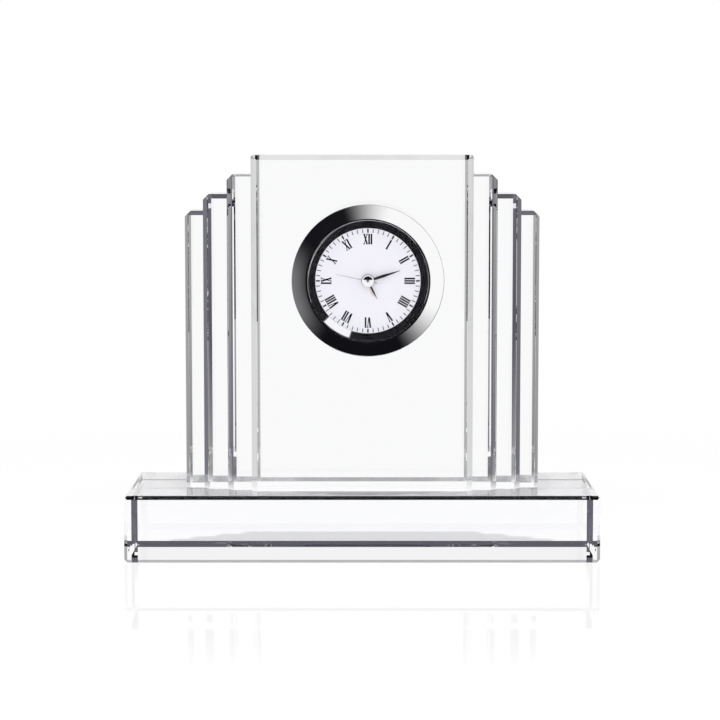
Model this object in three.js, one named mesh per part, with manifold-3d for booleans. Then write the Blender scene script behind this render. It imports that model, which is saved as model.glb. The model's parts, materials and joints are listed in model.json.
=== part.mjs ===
// Crystal desk clock: stepped crystal blocks on a crystal base, with a round alarm clock insert in front.
// Millimetres, +Z up, the dial faces -Y. The origin is the middle of the base's underside.
import * as THREE from "three";
import { mergeVertices } from "three/addons/utils/BufferGeometryUtils.js";
import Module from "manifold-3d";

const wasm = await Module();
wasm.setup();

// Crystal blocks
const BASE_WIDTH = 152.8;
const BASE_DEPTH = 54;
const BASE_HEIGHT = 21.7;
const BASE_CHAMFER = 1.05;
const BASE_FRONT_CHAMFER = 1.22;
const CENTRE_WIDTH = 71.6;
const CENTRE_DEPTH = 33.5;
const CENTRE_HEIGHT = 108.7;
const CENTRE_SIDE_CHAMFER = 1.9;
const CENTRE_TOP_CORNER = 0.6;
const CENTRE_TOP_CHAMFER = 1.6;
const INNER_WIDTH = 7.9;
const INNER_DEPTH = 28;
const INNER_HEIGHT = 102.45;
const INNER_TOP_CHAMFER = 0.7;
const MIDDLE_WIDTH = 7.85;
const MIDDLE_DEPTH = 22.8;
const MIDDLE_HEIGHT = 96.05;
const MIDDLE_TOP_CHAMFER = 1.45;
const OUTER_WIDTH = 6.05;
const OUTER_DEPTH = 17;
const OUTER_HEIGHT = 90.55;
const OUTER_TOP_CHAMFER = 1.4;
const COLUMN_CHAMFER = 1.9;
const OUTER_CHAMFER = 1.3;
const COLUMN_TOP_CUT = 1.9;

// Pocket for the clock insert, and where its axis is
const CLOCK_OFFSET = 1.85;
const CLOCK_RISE = 68.35;
const POCKET_DEPTH = 17.2;
const POCKET_CLEARANCE = 0.15;

// Clearances
const SEAT_GAP = 0.15;
const RUN_CLEARANCE = 0.08;
const WHEEL_GAP = 0.4;

// Bezel, lens and dial
const BEZEL_RADIUS = 24.55;
const BEZEL_RIM = 0.8;
const BEZEL_RISE = 3.4;
const BEZEL_LIP = 0.7;
const LENS_RADIUS = 19.35;
const LENS_THICKNESS = 1.1;
const LENS_SINK = 0.25;
const SKIRT_WALL = 0.8;
const SKIRT_LENGTH = 3;
const DIAL_THICKNESS = 0.3;
const DIAL_VIEW_RADIUS = 16.9;
const REFLECTOR_EDGE = 0.25;
const REFLECTOR_RISE = 1.1;

// Movement case
const CASE_RADIUS = 21.1;
const CASE_WALL = 1.3;
const CASE_FRONT = 0.9;
const CASE_LENGTH = 11.2;
const BACK_COVER_THICKNESS = 1;
const GRIP_THICKNESS = 1.2;
const GRIP_LENGTH = 5.6;
const GRIP_RIB = 0.25;
const PILLAR_RADIUS = 1.2;
const SCREW_POST_RADIUS = 1.5;
const SCREW_RADIUS = 0.6;
const SCREW_HEAD_RADIUS = 1.1;
const SCREW_HEAD_HEIGHT = 0.5;
const SCREW_LENGTH = 4;

// Arbors and pipes on the dial's axis
const ARBOR_RADIUS = 0.36;
const PIPE_WALL = 0.4;
const PIVOT_RADIUS = 0.22;
const SIDE_ARBOR_RADIUS = 0.35;
const STEM_RADIUS = 0.6;
const WHEEL_THICKNESS = 0.4;
const PINION_EXTRA = 0.1;

// Wheel train: numbers of teeth, and modules in millimetres
const MOTION_MODULE = 0.394;
const CANNON_TEETH = 8;
const MINUTE_WHEEL_TEETH = 24;
const MINUTE_PINION_TEETH = 6;
const HOUR_TEETH = 24;
const SET_TEETH = 8;
const ALARM_MODULE = 0.42;
const ALARM_TEETH = 24;
const ALARM_SET_TEETH = 8;
const GOING_MODULE = 0.2133;
const CENTRE_TEETH = 48;
const THIRD_PINION_TEETH = 6;
const THIRD_TEETH = 45;
const SECONDS_PINION_TEETH = 6;
const SECONDS_MODULE = 0.28;
const SECONDS_TEETH = 36;
const FIFTH_PINION_TEETH = 6;
const FIFTH_TEETH = 30;
const ROTOR_PINION_TEETH = 6;

// Angles of the arbors round the dial's axis, in degrees from 3 o'clock, anticlockwise
const MINUTE_WHEEL_ANGLE = 150;
const ALARM_SET_ANGLE = 95;
const THIRD_ANGLE = 30;
const FIFTH_ANGLE = 270;
const ROTOR_ANGLE = 300;

// Plates and electrical pieces
const PLATE_THICKNESS = 0.5;
const ROTOR_RADIUS = 1.6;
const ROTOR_LENGTH = 0.9;
const STATOR_THICKNESS = 0.4;
const STATOR_RING = 0.75;
const STATOR_BAR = 1.5;
const COIL_RADIUS = 1.8;
const COIL_LENGTH = 8;
const COIL_ANGLE = -35;
const BOARD_THICKNESS = 0.6;
const BOARD_CUT = -3;
const CHIP_SIZE = 4;
const CHIP_HEIGHT = 0.9;
const QUARTZ_RADIUS = 1;
const QUARTZ_LENGTH = 6;
const BUZZER_RADIUS = 6.5;
const BUZZER_THICKNESS = 0.3;
const BATTERY_RADIUS = 5.8;
const BATTERY_HEIGHT = 5.4;
const BATTERY_ANGLE = 208.6;
const CONTACT_THICKNESS = 0.25;
const HATCH_RADIUS = 6.1;
const HATCH_THICKNESS = 0.8;
const HATCH_RIM = 0.6;
const KNOB_RADIUS = 2.9;
const KNOB_HEIGHT = 1.7;
const KNOB_RIDGES = 14;
const SWITCH_WIDTH = 2;
const SWITCH_LENGTH = 3;
const SWITCH_TRAVEL = 2.5;
const SWITCH_HEIGHT = 1;
const SWITCH_FOOT = 0.4;
const SWITCH_ANGLE = 40;
const SWITCH_RADIUS = 12;

// Hands: lengths from the axis, widths, and angles clockwise from 12
const HAND_THICKNESS = 0.14;
const HAND_GAP = 0.3;
const MINUTE_HAND_LENGTH = 10.9;
const MINUTE_HAND_WIDTH = 0.95;
const MINUTE_HAND_ANGLE = 72;
const HOUR_HAND_LENGTH = 6.3;
const HOUR_HAND_WIDTH = 1.15;
const HOUR_HAND_ANGLE = 156;
const SECOND_HAND_LENGTH = 10.4;
const SECOND_HAND_TAIL = 3;
const SECOND_HAND_WIDTH = 0.34;
const SECOND_HAND_ANGLE = 282;
const ALARM_HAND_LENGTH = 5.2;
const ALARM_HAND_WIDTH = 0.6;
const ALARM_HAND_ANGLE = 164;
const HUB_WALL = 0.5;

// Facets of a full circle
const FINE = 48;
const ROUND = 24;
const SMALL = 12;

const RIGHT_ANGLE = Math.PI / 2;
const radians = (degrees) => (degrees * Math.PI) / 180;
const polar = (radius, angle) => new THREE.Vector2(radius * Math.cos(angle), radius * Math.sin(angle));

const finish = (color, roughness, metalness, extra = {}) => ({ color, roughness, metalness, ...extra });
const CRYSTAL = finish(0xf2f6fa, 0.02, 0, { transparent: true, opacity: 0.35 });
const CLEAR = finish(0xffffff, 0.02, 0, { transparent: true, opacity: 0.2 });
const CHROME = finish(0xd8d8da, 0.06, 1);
const GLOSS_BLACK = finish(0x0c0c0e, 0.12, 0);
const DIAL_WHITE = finish(0xf5f4fa, 0.5, 0);
const HAND_BLACK = finish(0x101012, 0.35, 0.2);
const SILVER = finish(0xb8b8bc, 0.3, 0.9);
const COPPER = finish(0xc9866a, 0.35, 0.9);
const STEEL = finish(0x9a9a9c, 0.35, 1);
const BRASS = finish(0xc9a24a, 0.35, 1);
const CASE_PLASTIC = finish(0x1a1a1c, 0.5, 0);
const GEAR_PLASTIC = finish(0xe9e7df, 0.5, 0);
const RUBBER = finish(0x2a2a2c, 0.85, 0);
const BOARD_GREEN = finish(0x1f5a34, 0.5, 0);

// A geometry as a solid that can be joined and cut.
function solid(geometry) {
  const bare = geometry.index ? geometry.toNonIndexed() : geometry.clone();
  bare.deleteAttribute("normal");
  bare.deleteAttribute("uv");
  const merged = mergeVertices(bare, 1e-4);
  return new wasm.Manifold(
    new wasm.Mesh({
      numProp: 3,
      vertProperties: merged.attributes.position.array,
      triVerts: new Uint32Array(merged.index.array),
    }),
  );
}

function geometryOf(body) {
  const made = body.getMesh();
  const geometry = new THREE.BufferGeometry();
  geometry.setAttribute("position", new THREE.BufferAttribute(made.vertProperties, 3));
  geometry.setIndex(new THREE.BufferAttribute(made.triVerts, 1));
  geometry.computeVertexNormals();
  return geometry;
}

const join = (bodies) => bodies.reduce((whole, body) => whole.add(body));
const cut = (whole, tools) => tools.reduce((left, tool) => left.subtract(tool), whole);

function part(name, body, look) {
  const mesh = new THREE.Mesh(geometryOf(body), new THREE.MeshStandardMaterial(look));
  mesh.name = name;
  return mesh;
}

function outline(points) {
  return new THREE.Shape(points.map(([x, y]) => new THREE.Vector2(x, y)));
}

// A prism from low to high along Z.
function prism(shape, low, high) {
  const settings = { depth: high - low, bevelEnabled: false, curveSegments: SMALL };
  return solid(new THREE.ExtrudeGeometry(shape, settings).translate(0, 0, low));
}

// A shape drawn across X and Z, as deep as depth each way along Y.
function frontPrism(shape, depth) {
  const settings = { depth: 2 * depth, bevelEnabled: false };
  return solid(new THREE.ExtrudeGeometry(shape, settings).rotateX(RIGHT_ANGLE).translate(0, depth, 0));
}

// A shape drawn across Y and Z, from low to high along X.
function sidePrism(shape, low, high) {
  const settings = { depth: high - low, bevelEnabled: false };
  const drawn = new THREE.ExtrudeGeometry(shape, settings);
  return solid(drawn.rotateX(RIGHT_ANGLE).rotateZ(RIGHT_ANGLE).translate(low, 0, 0));
}

// A closed profile of [radius, height] pairs, outer wall going up, turned round Z.
function turned(profile, facets = ROUND) {
  const closed = [...profile, profile[0]].map(([radius, height]) => new THREE.Vector2(radius, height));
  return solid(new THREE.LatheGeometry(closed, facets).rotateX(RIGHT_ANGLE));
}

function tube(inner, outer, low, high, facets = ROUND) {
  return turned([[inner, low], [outer, low], [outer, high], [inner, high]], facets);
}

function rod(radius, low, high, at = new THREE.Vector2(), facets = SMALL) {
  const drawn = new THREE.CylinderGeometry(radius, radius, high - low, facets);
  return solid(drawn.rotateX(RIGHT_ANGLE).translate(at.x, at.y, (low + high) / 2));
}

function box(width, depth, low, high, at = new THREE.Vector2(), turn = 0) {
  const drawn = new THREE.BoxGeometry(width, depth, high - low);
  return solid(drawn.rotateZ(turn).translate(at.x, at.y, (low + high) / 2));
}

// An outline of a box with its four corners cut: [low left, low right, high right, high left].
function cutCorners(x0, x1, y0, y1, [a, b, c, d]) {
  const points = [];
  const add = (x, y) => {
    const last = points[points.length - 1];
    if (!last || last[0] !== x || last[1] !== y) points.push([x, y]);
  };
  add(x0 + a, y0);
  add(x1 - b, y0);
  add(x1, y0 + b);
  add(x1, y1 - c);
  add(x1 - c, y1);
  add(x0 + d, y1);
  add(x0, y1 - d);
  if (a > 0) add(x0, y0 + a);
  return outline(points);
}

// A crystal block: its plan, its front and its side outlines, each with cut corners, meet in one solid.
function crystalBlock({ x0, x1, depth, z0, z1, plan, front, side }) {
  const half = depth / 2;
  const fromAbove = prism(cutCorners(x0, x1, -half, half, plan), z0, z1);
  const fromFront = frontPrism(cutCorners(x0, x1, z0, z1, front), depth);
  const fromSide = sidePrism(cutCorners(-half, half, z0, z1, side), x0, x1);
  return fromAbove.intersect(fromFront).intersect(fromSide);
}

// Crystal: base, centre block with its pocket, and three columns on each side
const centreHalf = CENTRE_WIDTH / 2;
const clockHeight = BASE_HEIGHT + CLOCK_RISE;
const centreFace = -CENTRE_DEPTH / 2;
const gripRadius = CASE_RADIUS + SEAT_GAP + GRIP_THICKNESS;
const pocketRadius = gripRadius + POCKET_CLEARANCE;

function baseBlock() {
  const corners = Array(4).fill(BASE_CHAMFER);
  return crystalBlock({
    x0: -BASE_WIDTH / 2,
    x1: BASE_WIDTH / 2,
    depth: BASE_DEPTH,
    z0: 0,
    z1: BASE_HEIGHT,
    plan: corners,
    front: corners,
    side: [...corners.slice(1), BASE_FRONT_CHAMFER],
  });
}

function centreBlock() {
  const corner = CENTRE_TOP_CORNER;
  const top = CENTRE_TOP_CHAMFER;
  const block = crystalBlock({
    x0: -centreHalf,
    x1: centreHalf,
    depth: CENTRE_DEPTH,
    z0: BASE_HEIGHT,
    z1: BASE_HEIGHT + CENTRE_HEIGHT,
    plan: Array(4).fill(CENTRE_SIDE_CHAMFER),
    front: [0, 0, corner, corner],
    side: [0, 0, top, top],
  });
  const drill = new THREE.CylinderGeometry(pocketRadius, pocketRadius, 2 * POCKET_DEPTH, FINE);
  return block.subtract(solid(drill.translate(CLOCK_OFFSET, centreFace, clockHeight)));
}

function column(side, near, { width, depth, height, chamfer, top }) {
  const far = near + width;
  const [x0, x1] = side < 0 ? [-far, -near] : [near, far];
  const outward = (value) => (side < 0 ? [value, 0] : [0, value]);
  const [left, right] = outward(chamfer);
  const [leftCut, rightCut] = outward(COLUMN_TOP_CUT);
  return crystalBlock({
    x0,
    x1,
    depth,
    z0: BASE_HEIGHT,
    z1: BASE_HEIGHT + height,
    plan: [left, right, right, left],
    front: [0, 0, rightCut, leftCut],
    side: [0, 0, top, top],
  });
}

const COLUMNS = [
  {
    word: "inner",
    width: INNER_WIDTH,
    depth: INNER_DEPTH,
    height: INNER_HEIGHT,
    chamfer: COLUMN_CHAMFER,
    top: INNER_TOP_CHAMFER,
  },
  {
    word: "middle",
    width: MIDDLE_WIDTH,
    depth: MIDDLE_DEPTH,
    height: MIDDLE_HEIGHT,
    chamfer: COLUMN_CHAMFER,
    top: MIDDLE_TOP_CHAMFER,
  },
  {
    word: "outer",
    width: OUTER_WIDTH,
    depth: OUTER_DEPTH,
    height: OUTER_HEIGHT,
    chamfer: OUTER_CHAMFER,
    top: OUTER_TOP_CHAMFER,
  },
];

function crystalParts() {
  const parts = [part("base_block", baseBlock(), CRYSTAL), part("centre_block", centreBlock(), CRYSTAL)];
  for (const [word, side] of [["left", -1], ["right", 1]]) {
    let near = centreHalf;
    for (const sizes of COLUMNS) {
      parts.push(part(`${word}_${sizes.word}_column`, column(side, near, sizes), CRYSTAL));
      near += sizes.width;
    }
  }
  return parts;
}

// The insert's own frame: its axis is Z, the viewer is at +Z and 12 o'clock is +Y.
// Z = 0 is the centre block's face, and the levels go down from there to the back cover.
const bezelTop = BEZEL_RISE;
const lensTop = bezelTop - LENS_SINK;
const lensBottom = lensTop - LENS_THICKNESS;
const boreRadius = LENS_RADIUS + SEAT_GAP;
const dialTop = 0;
const caseTop = dialTop - DIAL_THICKNESS;
const caseFloor = caseTop - CASE_FRONT;
const caseEnd = caseTop - CASE_LENGTH;
const caseInner = CASE_RADIUS - CASE_WALL;
const coverBottom = caseEnd - BACK_COVER_THICKNESS;

const alarmWheelTop = caseFloor - WHEEL_GAP;
const alarmWheelBottom = alarmWheelTop - WHEEL_THICKNESS;
const hourWheelTop = alarmWheelBottom - WHEEL_GAP;
const hourWheelBottom = hourWheelTop - WHEEL_THICKNESS;
const minuteWheelTop = hourWheelBottom - 2 * WHEEL_GAP;
const minuteWheelBottom = minuteWheelTop - WHEEL_THICKNESS;
const plateTop = minuteWheelBottom - WHEEL_GAP;
const plateBottom = plateTop - PLATE_THICKNESS;
const centreWheelTop = plateBottom - WHEEL_GAP;
const centreWheelBottom = centreWheelTop - WHEEL_THICKNESS;
const thirdWheelTop = centreWheelBottom - 2 * WHEEL_GAP;
const thirdWheelBottom = thirdWheelTop - WHEEL_THICKNESS;
const secondsWheelTop = thirdWheelBottom - WHEEL_GAP;
const secondsWheelBottom = secondsWheelTop - WHEEL_THICKNESS;
const fifthWheelTop = secondsWheelBottom - WHEEL_GAP;
const fifthWheelBottom = fifthWheelTop - WHEEL_THICKNESS;
const bridgeTop = fifthWheelBottom - WHEEL_GAP;
const bridgeBottom = bridgeTop - PLATE_THICKNESS;
const pivotFoot = bridgeBottom + SEAT_GAP;
const boardBottom = bridgeBottom - BOARD_THICKNESS;

const alarmHandBottom = dialTop + HAND_GAP;
const handStep = HAND_THICKNESS + HAND_GAP;
const hourHandBottom = alarmHandBottom + handStep;
const minuteHandBottom = hourHandBottom + handStep;
const secondHandBottom = minuteHandBottom + handStep;

const minutePipeInner = ARBOR_RADIUS + RUN_CLEARANCE;
const minutePipeOuter = minutePipeInner + PIPE_WALL;
const hourPipeInner = minutePipeOuter + RUN_CLEARANCE;
const hourPipeOuter = hourPipeInner + PIPE_WALL;
const alarmPipeInner = hourPipeOuter + RUN_CLEARANCE;
const alarmPipeOuter = alarmPipeInner + PIPE_WALL;

// Where the side arbors stand
const apart = (module, a, b) => (module * (a + b)) / 2;
const motionDistance = apart(MOTION_MODULE, CANNON_TEETH, MINUTE_WHEEL_TEETH);
const hourModule = (2 * motionDistance) / (MINUTE_PINION_TEETH + HOUR_TEETH);
const thirdDistance = apart(GOING_MODULE, CENTRE_TEETH, THIRD_PINION_TEETH);
const thirdModule = (2 * thirdDistance) / (THIRD_TEETH + SECONDS_PINION_TEETH);
const fifthDistance = apart(SECONDS_MODULE, SECONDS_TEETH, FIFTH_PINION_TEETH);
const minuteWheelAt = polar(motionDistance, radians(MINUTE_WHEEL_ANGLE));
const setStep = polar(apart(MOTION_MODULE, MINUTE_WHEEL_TEETH, SET_TEETH), radians(MINUTE_WHEEL_ANGLE));
const setAt = minuteWheelAt.clone().add(setStep);
const alarmSetAt = polar(apart(ALARM_MODULE, ALARM_TEETH, ALARM_SET_TEETH), radians(ALARM_SET_ANGLE));
const thirdAt = polar(thirdDistance, radians(THIRD_ANGLE));
const fifthAt = polar(fifthDistance, radians(FIFTH_ANGLE));
const rotorStep = polar(apart(GOING_MODULE, FIFTH_TEETH, ROTOR_PINION_TEETH), radians(ROTOR_ANGLE));
const rotorAt = fifthAt.clone().add(rotorStep);

// The angle of a tooth on the second wheel of a pair, when the first has a tooth at the angle given.
function matedTooth(tooth, teeth, otherTeeth, towards) {
  const past = tooth - towards;
  return towards + Math.PI - (past * teeth) / otherTeeth + Math.PI / otherTeeth;
}

const cannonTooth = radians(MINUTE_WHEEL_ANGLE);
const minuteWheelTooth = matedTooth(cannonTooth, CANNON_TEETH, MINUTE_WHEEL_TEETH, cannonTooth);
const setTooth = matedTooth(minuteWheelTooth, MINUTE_WHEEL_TEETH, SET_TEETH, cannonTooth);
const minutePinionTooth = matedTooth(cannonTooth, HOUR_TEETH, MINUTE_PINION_TEETH, cannonTooth);
const alarmTooth = radians(ALARM_SET_ANGLE);
const alarmSetTooth = matedTooth(alarmTooth, ALARM_TEETH, ALARM_SET_TEETH, alarmTooth);
const thirdTooth = radians(THIRD_ANGLE);
const thirdPinionTooth = matedTooth(thirdTooth, CENTRE_TEETH, THIRD_PINION_TEETH, thirdTooth);
const thirdWheelTooth = matedTooth(thirdTooth, SECONDS_PINION_TEETH, THIRD_TEETH, thirdTooth);
const fifthTooth = radians(FIFTH_ANGLE);
const fifthPinionTooth = matedTooth(fifthTooth, SECONDS_TEETH, FIFTH_PINION_TEETH, fifthTooth);
const rotorTooth = radians(ROTOR_ANGLE);
const rotorPinionTooth = matedTooth(rotorTooth, FIFTH_TEETH, ROTOR_PINION_TEETH, rotorTooth);

// A toothed disc: straight-sided teeth, one of them centred on the angle given.
const TOOTH_TIP = 0.8;
const TOOTH_ROOT = 1.15;
const TIP_SHARE = 0.2;
const ROOT_SHARE = 0.52;

function toothed(teeth, module, tooth, low, high, at = new THREE.Vector2()) {
  const pitch = (2 * Math.PI) / teeth;
  const tip = module * (teeth / 2 + TOOTH_TIP);
  const root = module * (teeth / 2 - TOOTH_ROOT);
  const tipTurn = (TIP_SHARE * pitch) / 2;
  const rootTurn = (ROOT_SHARE * pitch) / 2;
  const points = [];
  for (let i = 0; i < teeth; i += 1) {
    const middle = tooth + i * pitch;
    points.push(polar(root, middle - rootTurn).add(at));
    points.push(polar(tip, middle - tipTurn).add(at));
    points.push(polar(tip, middle + tipTurn).add(at));
    points.push(polar(root, middle + rootTurn).add(at));
  }
  return prism(new THREE.Shape(points), low, high);
}

// Bezel: a convex chrome ring with a flat rim, a lens seat and a skirt that reaches into the pocket
function bezel() {
  const lipOuter = boreRadius + BEZEL_LIP;
  const skirtInner = CASE_RADIUS + SEAT_GAP;
  const profile = [
    [skirtInner, -SKIRT_LENGTH],
    [skirtInner + SKIRT_WALL, -SKIRT_LENGTH],
    [skirtInner + SKIRT_WALL, dialTop],
    [BEZEL_RADIUS, dialTop],
    [BEZEL_RADIUS, BEZEL_RIM],
  ];
  const steps = 4;
  for (let i = 1; i <= steps; i += 1) {
    const turn = (RIGHT_ANGLE * i) / steps;
    const radius = lipOuter + (BEZEL_RADIUS - lipOuter) * Math.cos(turn * 0.86);
    profile.push([radius, BEZEL_RIM + (bezelTop - BEZEL_RIM) * Math.sin(turn)]);
  }
  profile.push([boreRadius, bezelTop], [boreRadius, dialTop], [skirtInner, dialTop]);
  return turned(profile, FINE);
}

function lens() {
  const edge = LENS_THICKNESS / 3;
  return turned(
    [
      [0, lensBottom],
      [LENS_RADIUS, lensBottom],
      [LENS_RADIUS, lensTop - edge],
      [LENS_RADIUS - edge, lensTop],
      [0, lensTop],
    ],
    FINE,
  );
}

// Reflector ring: the sloping ring round the dial, with a thin wall that stands up to the lens
function reflectorRing() {
  const wall = LENS_RADIUS - REFLECTOR_EDGE;
  return turned(
    [
      [DIAL_VIEW_RADIUS, dialTop],
      [LENS_RADIUS, dialTop],
      [LENS_RADIUS, lensBottom],
      [wall, lensBottom],
      [wall, dialTop + REFLECTOR_RISE],
      [DIAL_VIEW_RADIUS, dialTop + REFLECTOR_EDGE],
    ],
    FINE,
  );
}

const dial = () => tube(alarmPipeOuter + 2 * RUN_CLEARANCE, CASE_RADIUS, caseTop, dialTop, FINE);

// Movement case: a cup that is open at the back, with pillars under the main plate and posts for the screws
const pillarRing = caseInner - CASE_WALL - 3 * PILLAR_RADIUS;
const pillarPlaces = [100, 222, 340].map((angle) => polar(pillarRing, radians(angle)));
const screwRing = caseInner - SCREW_POST_RADIUS + CASE_WALL / 4;
const screwPlaces = [56, 174, 295].map((angle) => polar(screwRing, radians(angle)));
const plateRadius = screwRing - SCREW_POST_RADIUS - SEAT_GAP;
const pivotHole = PIVOT_RADIUS + RUN_CLEARANCE;
const stemHole = STEM_RADIUS + RUN_CLEARANCE;

function movementCase() {
  const shell = turned(
    [
      [alarmPipeOuter + RUN_CLEARANCE, caseFloor],
      [caseInner, caseFloor],
      [caseInner, caseEnd],
      [CASE_RADIUS, caseEnd],
      [CASE_RADIUS, caseTop],
      [alarmPipeOuter + RUN_CLEARANCE, caseTop],
    ],
    FINE,
  );
  const pillars = pillarPlaces.map((at) => rod(PILLAR_RADIUS, plateTop, caseFloor + CASE_FRONT / 2, at));
  const posts = screwPlaces.map((at) => rod(SCREW_POST_RADIUS, caseEnd, caseFloor + CASE_FRONT / 2, at));
  const screwHole = (at) => rod(SCREW_RADIUS + RUN_CLEARANCE, caseEnd - 1, caseEnd + SCREW_LENGTH, at);
  const pivotBore = (at) => rod(pivotHole, caseFloor - 1, caseTop + 1, at);
  const pivots = [minuteWheelAt, setAt, alarmSetAt].map(pivotBore);
  return cut(join([shell, ...pillars, ...posts]), [...screwPlaces.map(screwHole), ...pivots]);
}

// Main plate: carries the upper pivots, and the pipes and setting stems pass through it
function mainPlate() {
  const disc = rod(plateRadius, plateBottom, plateTop, undefined, FINE);
  const through = (radius, at) => rod(radius, plateBottom - 1, plateTop + 1, at);
  return cut(disc, [
    through(minutePipeOuter + RUN_CLEARANCE, undefined),
    through(pivotHole, minuteWheelAt),
    through(stemHole, setAt),
    through(stemHole, alarmSetAt),
    through(pivotHole, thirdAt),
    through(pivotHole, fifthAt),
    through(pivotHole, rotorAt),
  ]);
}

// Bridge: carries the lower pivots on legs that stand on the main plate
const LEG_RADIUS = 0.8;
const wheelReach = Math.max(SECONDS_MODULE * SECONDS_TEETH, GOING_MODULE * CENTRE_TEETH) / 2;
const legClear = wheelReach + LEG_RADIUS + WHEEL_GAP;
const lobeRadius = ROTOR_RADIUS + LEG_RADIUS;
const legPlaces = [
  polar(legClear, radians(178)),
  polar(legClear + 3 * LEG_RADIUS, radians(82)),
  rotorAt.clone().add(polar(lobeRadius + 1.5 * LEG_RADIUS, radians(198))),
];
const bayRadius = BATTERY_RADIUS + 2 * CONTACT_THICKNESS + 2 * SEAT_GAP;
const batteryAt = polar(caseInner - bayRadius, radians(BATTERY_ANGLE));
const bridgeRadius = legClear + 1.5 * LEG_RADIUS;

function bridge() {
  const disc = rod(bridgeRadius, bridgeBottom, bridgeTop, undefined, FINE);
  const lobe = rod(lobeRadius, bridgeBottom, bridgeTop, rotorAt);
  const pads = legPlaces.map((at) => rod(2 * LEG_RADIUS, bridgeBottom, bridgeTop, at));
  const legs = legPlaces.map((at) => rod(LEG_RADIUS, bridgeTop - PLATE_THICKNESS / 2, plateBottom, at));
  const through = (radius, at) => rod(radius, bridgeBottom - 1, bridgeTop + 1, at, ROUND);
  return cut(join([disc, lobe, ...pads, ...legs]), [
    through(pivotHole, undefined),
    through(pivotHole, thirdAt),
    through(pivotHole, fifthAt),
    through(pivotHole, rotorAt),
    through(STEM_RADIUS + WHEEL_GAP, alarmSetAt),
    through(bayRadius, batteryAt),
  ]);
}

// Wheels on the dial's axis
function alarmWheel() {
  const wheel = toothed(ALARM_TEETH, ALARM_MODULE, alarmTooth, alarmWheelBottom, alarmWheelTop);
  const pipe = rod(alarmPipeOuter, alarmWheelBottom, alarmHandBottom + HAND_THICKNESS, undefined, ROUND);
  return cut(wheel.add(pipe), [rod(alarmPipeInner, alarmWheelBottom - 1, lensBottom, undefined, ROUND)]);
}

function hourWheel() {
  const wheel = toothed(HOUR_TEETH, hourModule, cannonTooth, hourWheelBottom, hourWheelTop);
  const pipe = rod(hourPipeOuter, hourWheelBottom, hourHandBottom + HAND_THICKNESS, undefined, ROUND);
  return cut(wheel.add(pipe), [rod(hourPipeInner, hourWheelBottom - 1, lensBottom, undefined, ROUND)]);
}

function cannonPinion() {
  const low = minuteWheelBottom - PINION_EXTRA;
  const pinion = toothed(CANNON_TEETH, MOTION_MODULE, cannonTooth, low, minuteWheelTop + PINION_EXTRA);
  const pipeTop = minuteHandBottom + HAND_THICKNESS;
  const pipe = rod(minutePipeOuter, plateBottom - SEAT_GAP, pipeTop, undefined, ROUND);
  return cut(pinion.add(pipe), [rod(minutePipeInner, plateBottom - 1, lensBottom, undefined, ROUND)]);
}

function centreWheel() {
  const wheel = toothed(CENTRE_TEETH, GOING_MODULE, thirdTooth, centreWheelBottom, centreWheelTop);
  const collar = rod(minutePipeOuter, centreWheelBottom, plateBottom - 2 * SEAT_GAP, undefined, ROUND);
  return cut(wheel.add(collar), [rod(minutePipeInner, centreWheelBottom - 1, plateBottom, undefined, ROUND)]);
}

function secondsArbor() {
  const low = secondsWheelBottom;
  const wheel = toothed(SECONDS_TEETH, SECONDS_MODULE, fifthTooth, low, secondsWheelTop);
  const pinionLow = secondsWheelTop - PINION_EXTRA;
  const pinionTop = thirdWheelTop + PINION_EXTRA;
  const pinion = toothed(SECONDS_PINION_TEETH, thirdModule, thirdTooth, pinionLow, pinionTop);
  const arbor = rod(ARBOR_RADIUS, bridgeTop + SEAT_GAP, secondHandBottom + HAND_THICKNESS);
  const pivot = rod(PIVOT_RADIUS, pivotFoot, bridgeTop + 2 * SEAT_GAP);
  return join([wheel, pinion, arbor, pivot]);
}

// Wheels on side arbors: a wheel, a pinion and an arbor with a pivot at each end
function sideWheel({ at, wheel, pinion, low, high, lowPivot, highPivot }) {
  const disc = toothed(wheel.teeth, wheel.module, wheel.tooth, wheel.low, wheel.high, at);
  const leaves = toothed(pinion.teeth, pinion.module, pinion.tooth, pinion.low, pinion.high, at);
  const arbor = rod(SIDE_ARBOR_RADIUS, low, high, at);
  const lower = rod(PIVOT_RADIUS, lowPivot, low + SEAT_GAP, at);
  const upper = rod(PIVOT_RADIUS, high - SEAT_GAP, highPivot, at);
  return join([disc, leaves, arbor, lower, upper]);
}

function minuteWheel() {
  return sideWheel({
    at: minuteWheelAt,
    wheel: {
      teeth: MINUTE_WHEEL_TEETH,
      module: MOTION_MODULE,
      tooth: minuteWheelTooth,
      low: minuteWheelBottom,
      high: minuteWheelTop,
    },
    pinion: {
      teeth: MINUTE_PINION_TEETH,
      module: hourModule,
      tooth: minutePinionTooth,
      low: minuteWheelTop - PINION_EXTRA,
      high: hourWheelTop + PINION_EXTRA,
    },
    low: plateTop + SEAT_GAP,
    high: caseFloor - SEAT_GAP,
    lowPivot: plateBottom,
    highPivot: caseTop - SEAT_GAP,
  });
}

function thirdWheel() {
  return sideWheel({
    at: thirdAt,
    wheel: {
      teeth: THIRD_TEETH,
      module: thirdModule,
      tooth: thirdWheelTooth,
      low: thirdWheelBottom,
      high: thirdWheelTop,
    },
    pinion: {
      teeth: THIRD_PINION_TEETH,
      module: GOING_MODULE,
      tooth: thirdPinionTooth,
      low: thirdWheelTop - PINION_EXTRA,
      high: centreWheelTop + PINION_EXTRA,
    },
    low: bridgeTop + SEAT_GAP,
    high: plateBottom - SEAT_GAP,
    lowPivot: pivotFoot,
    highPivot: plateTop,
  });
}

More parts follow.
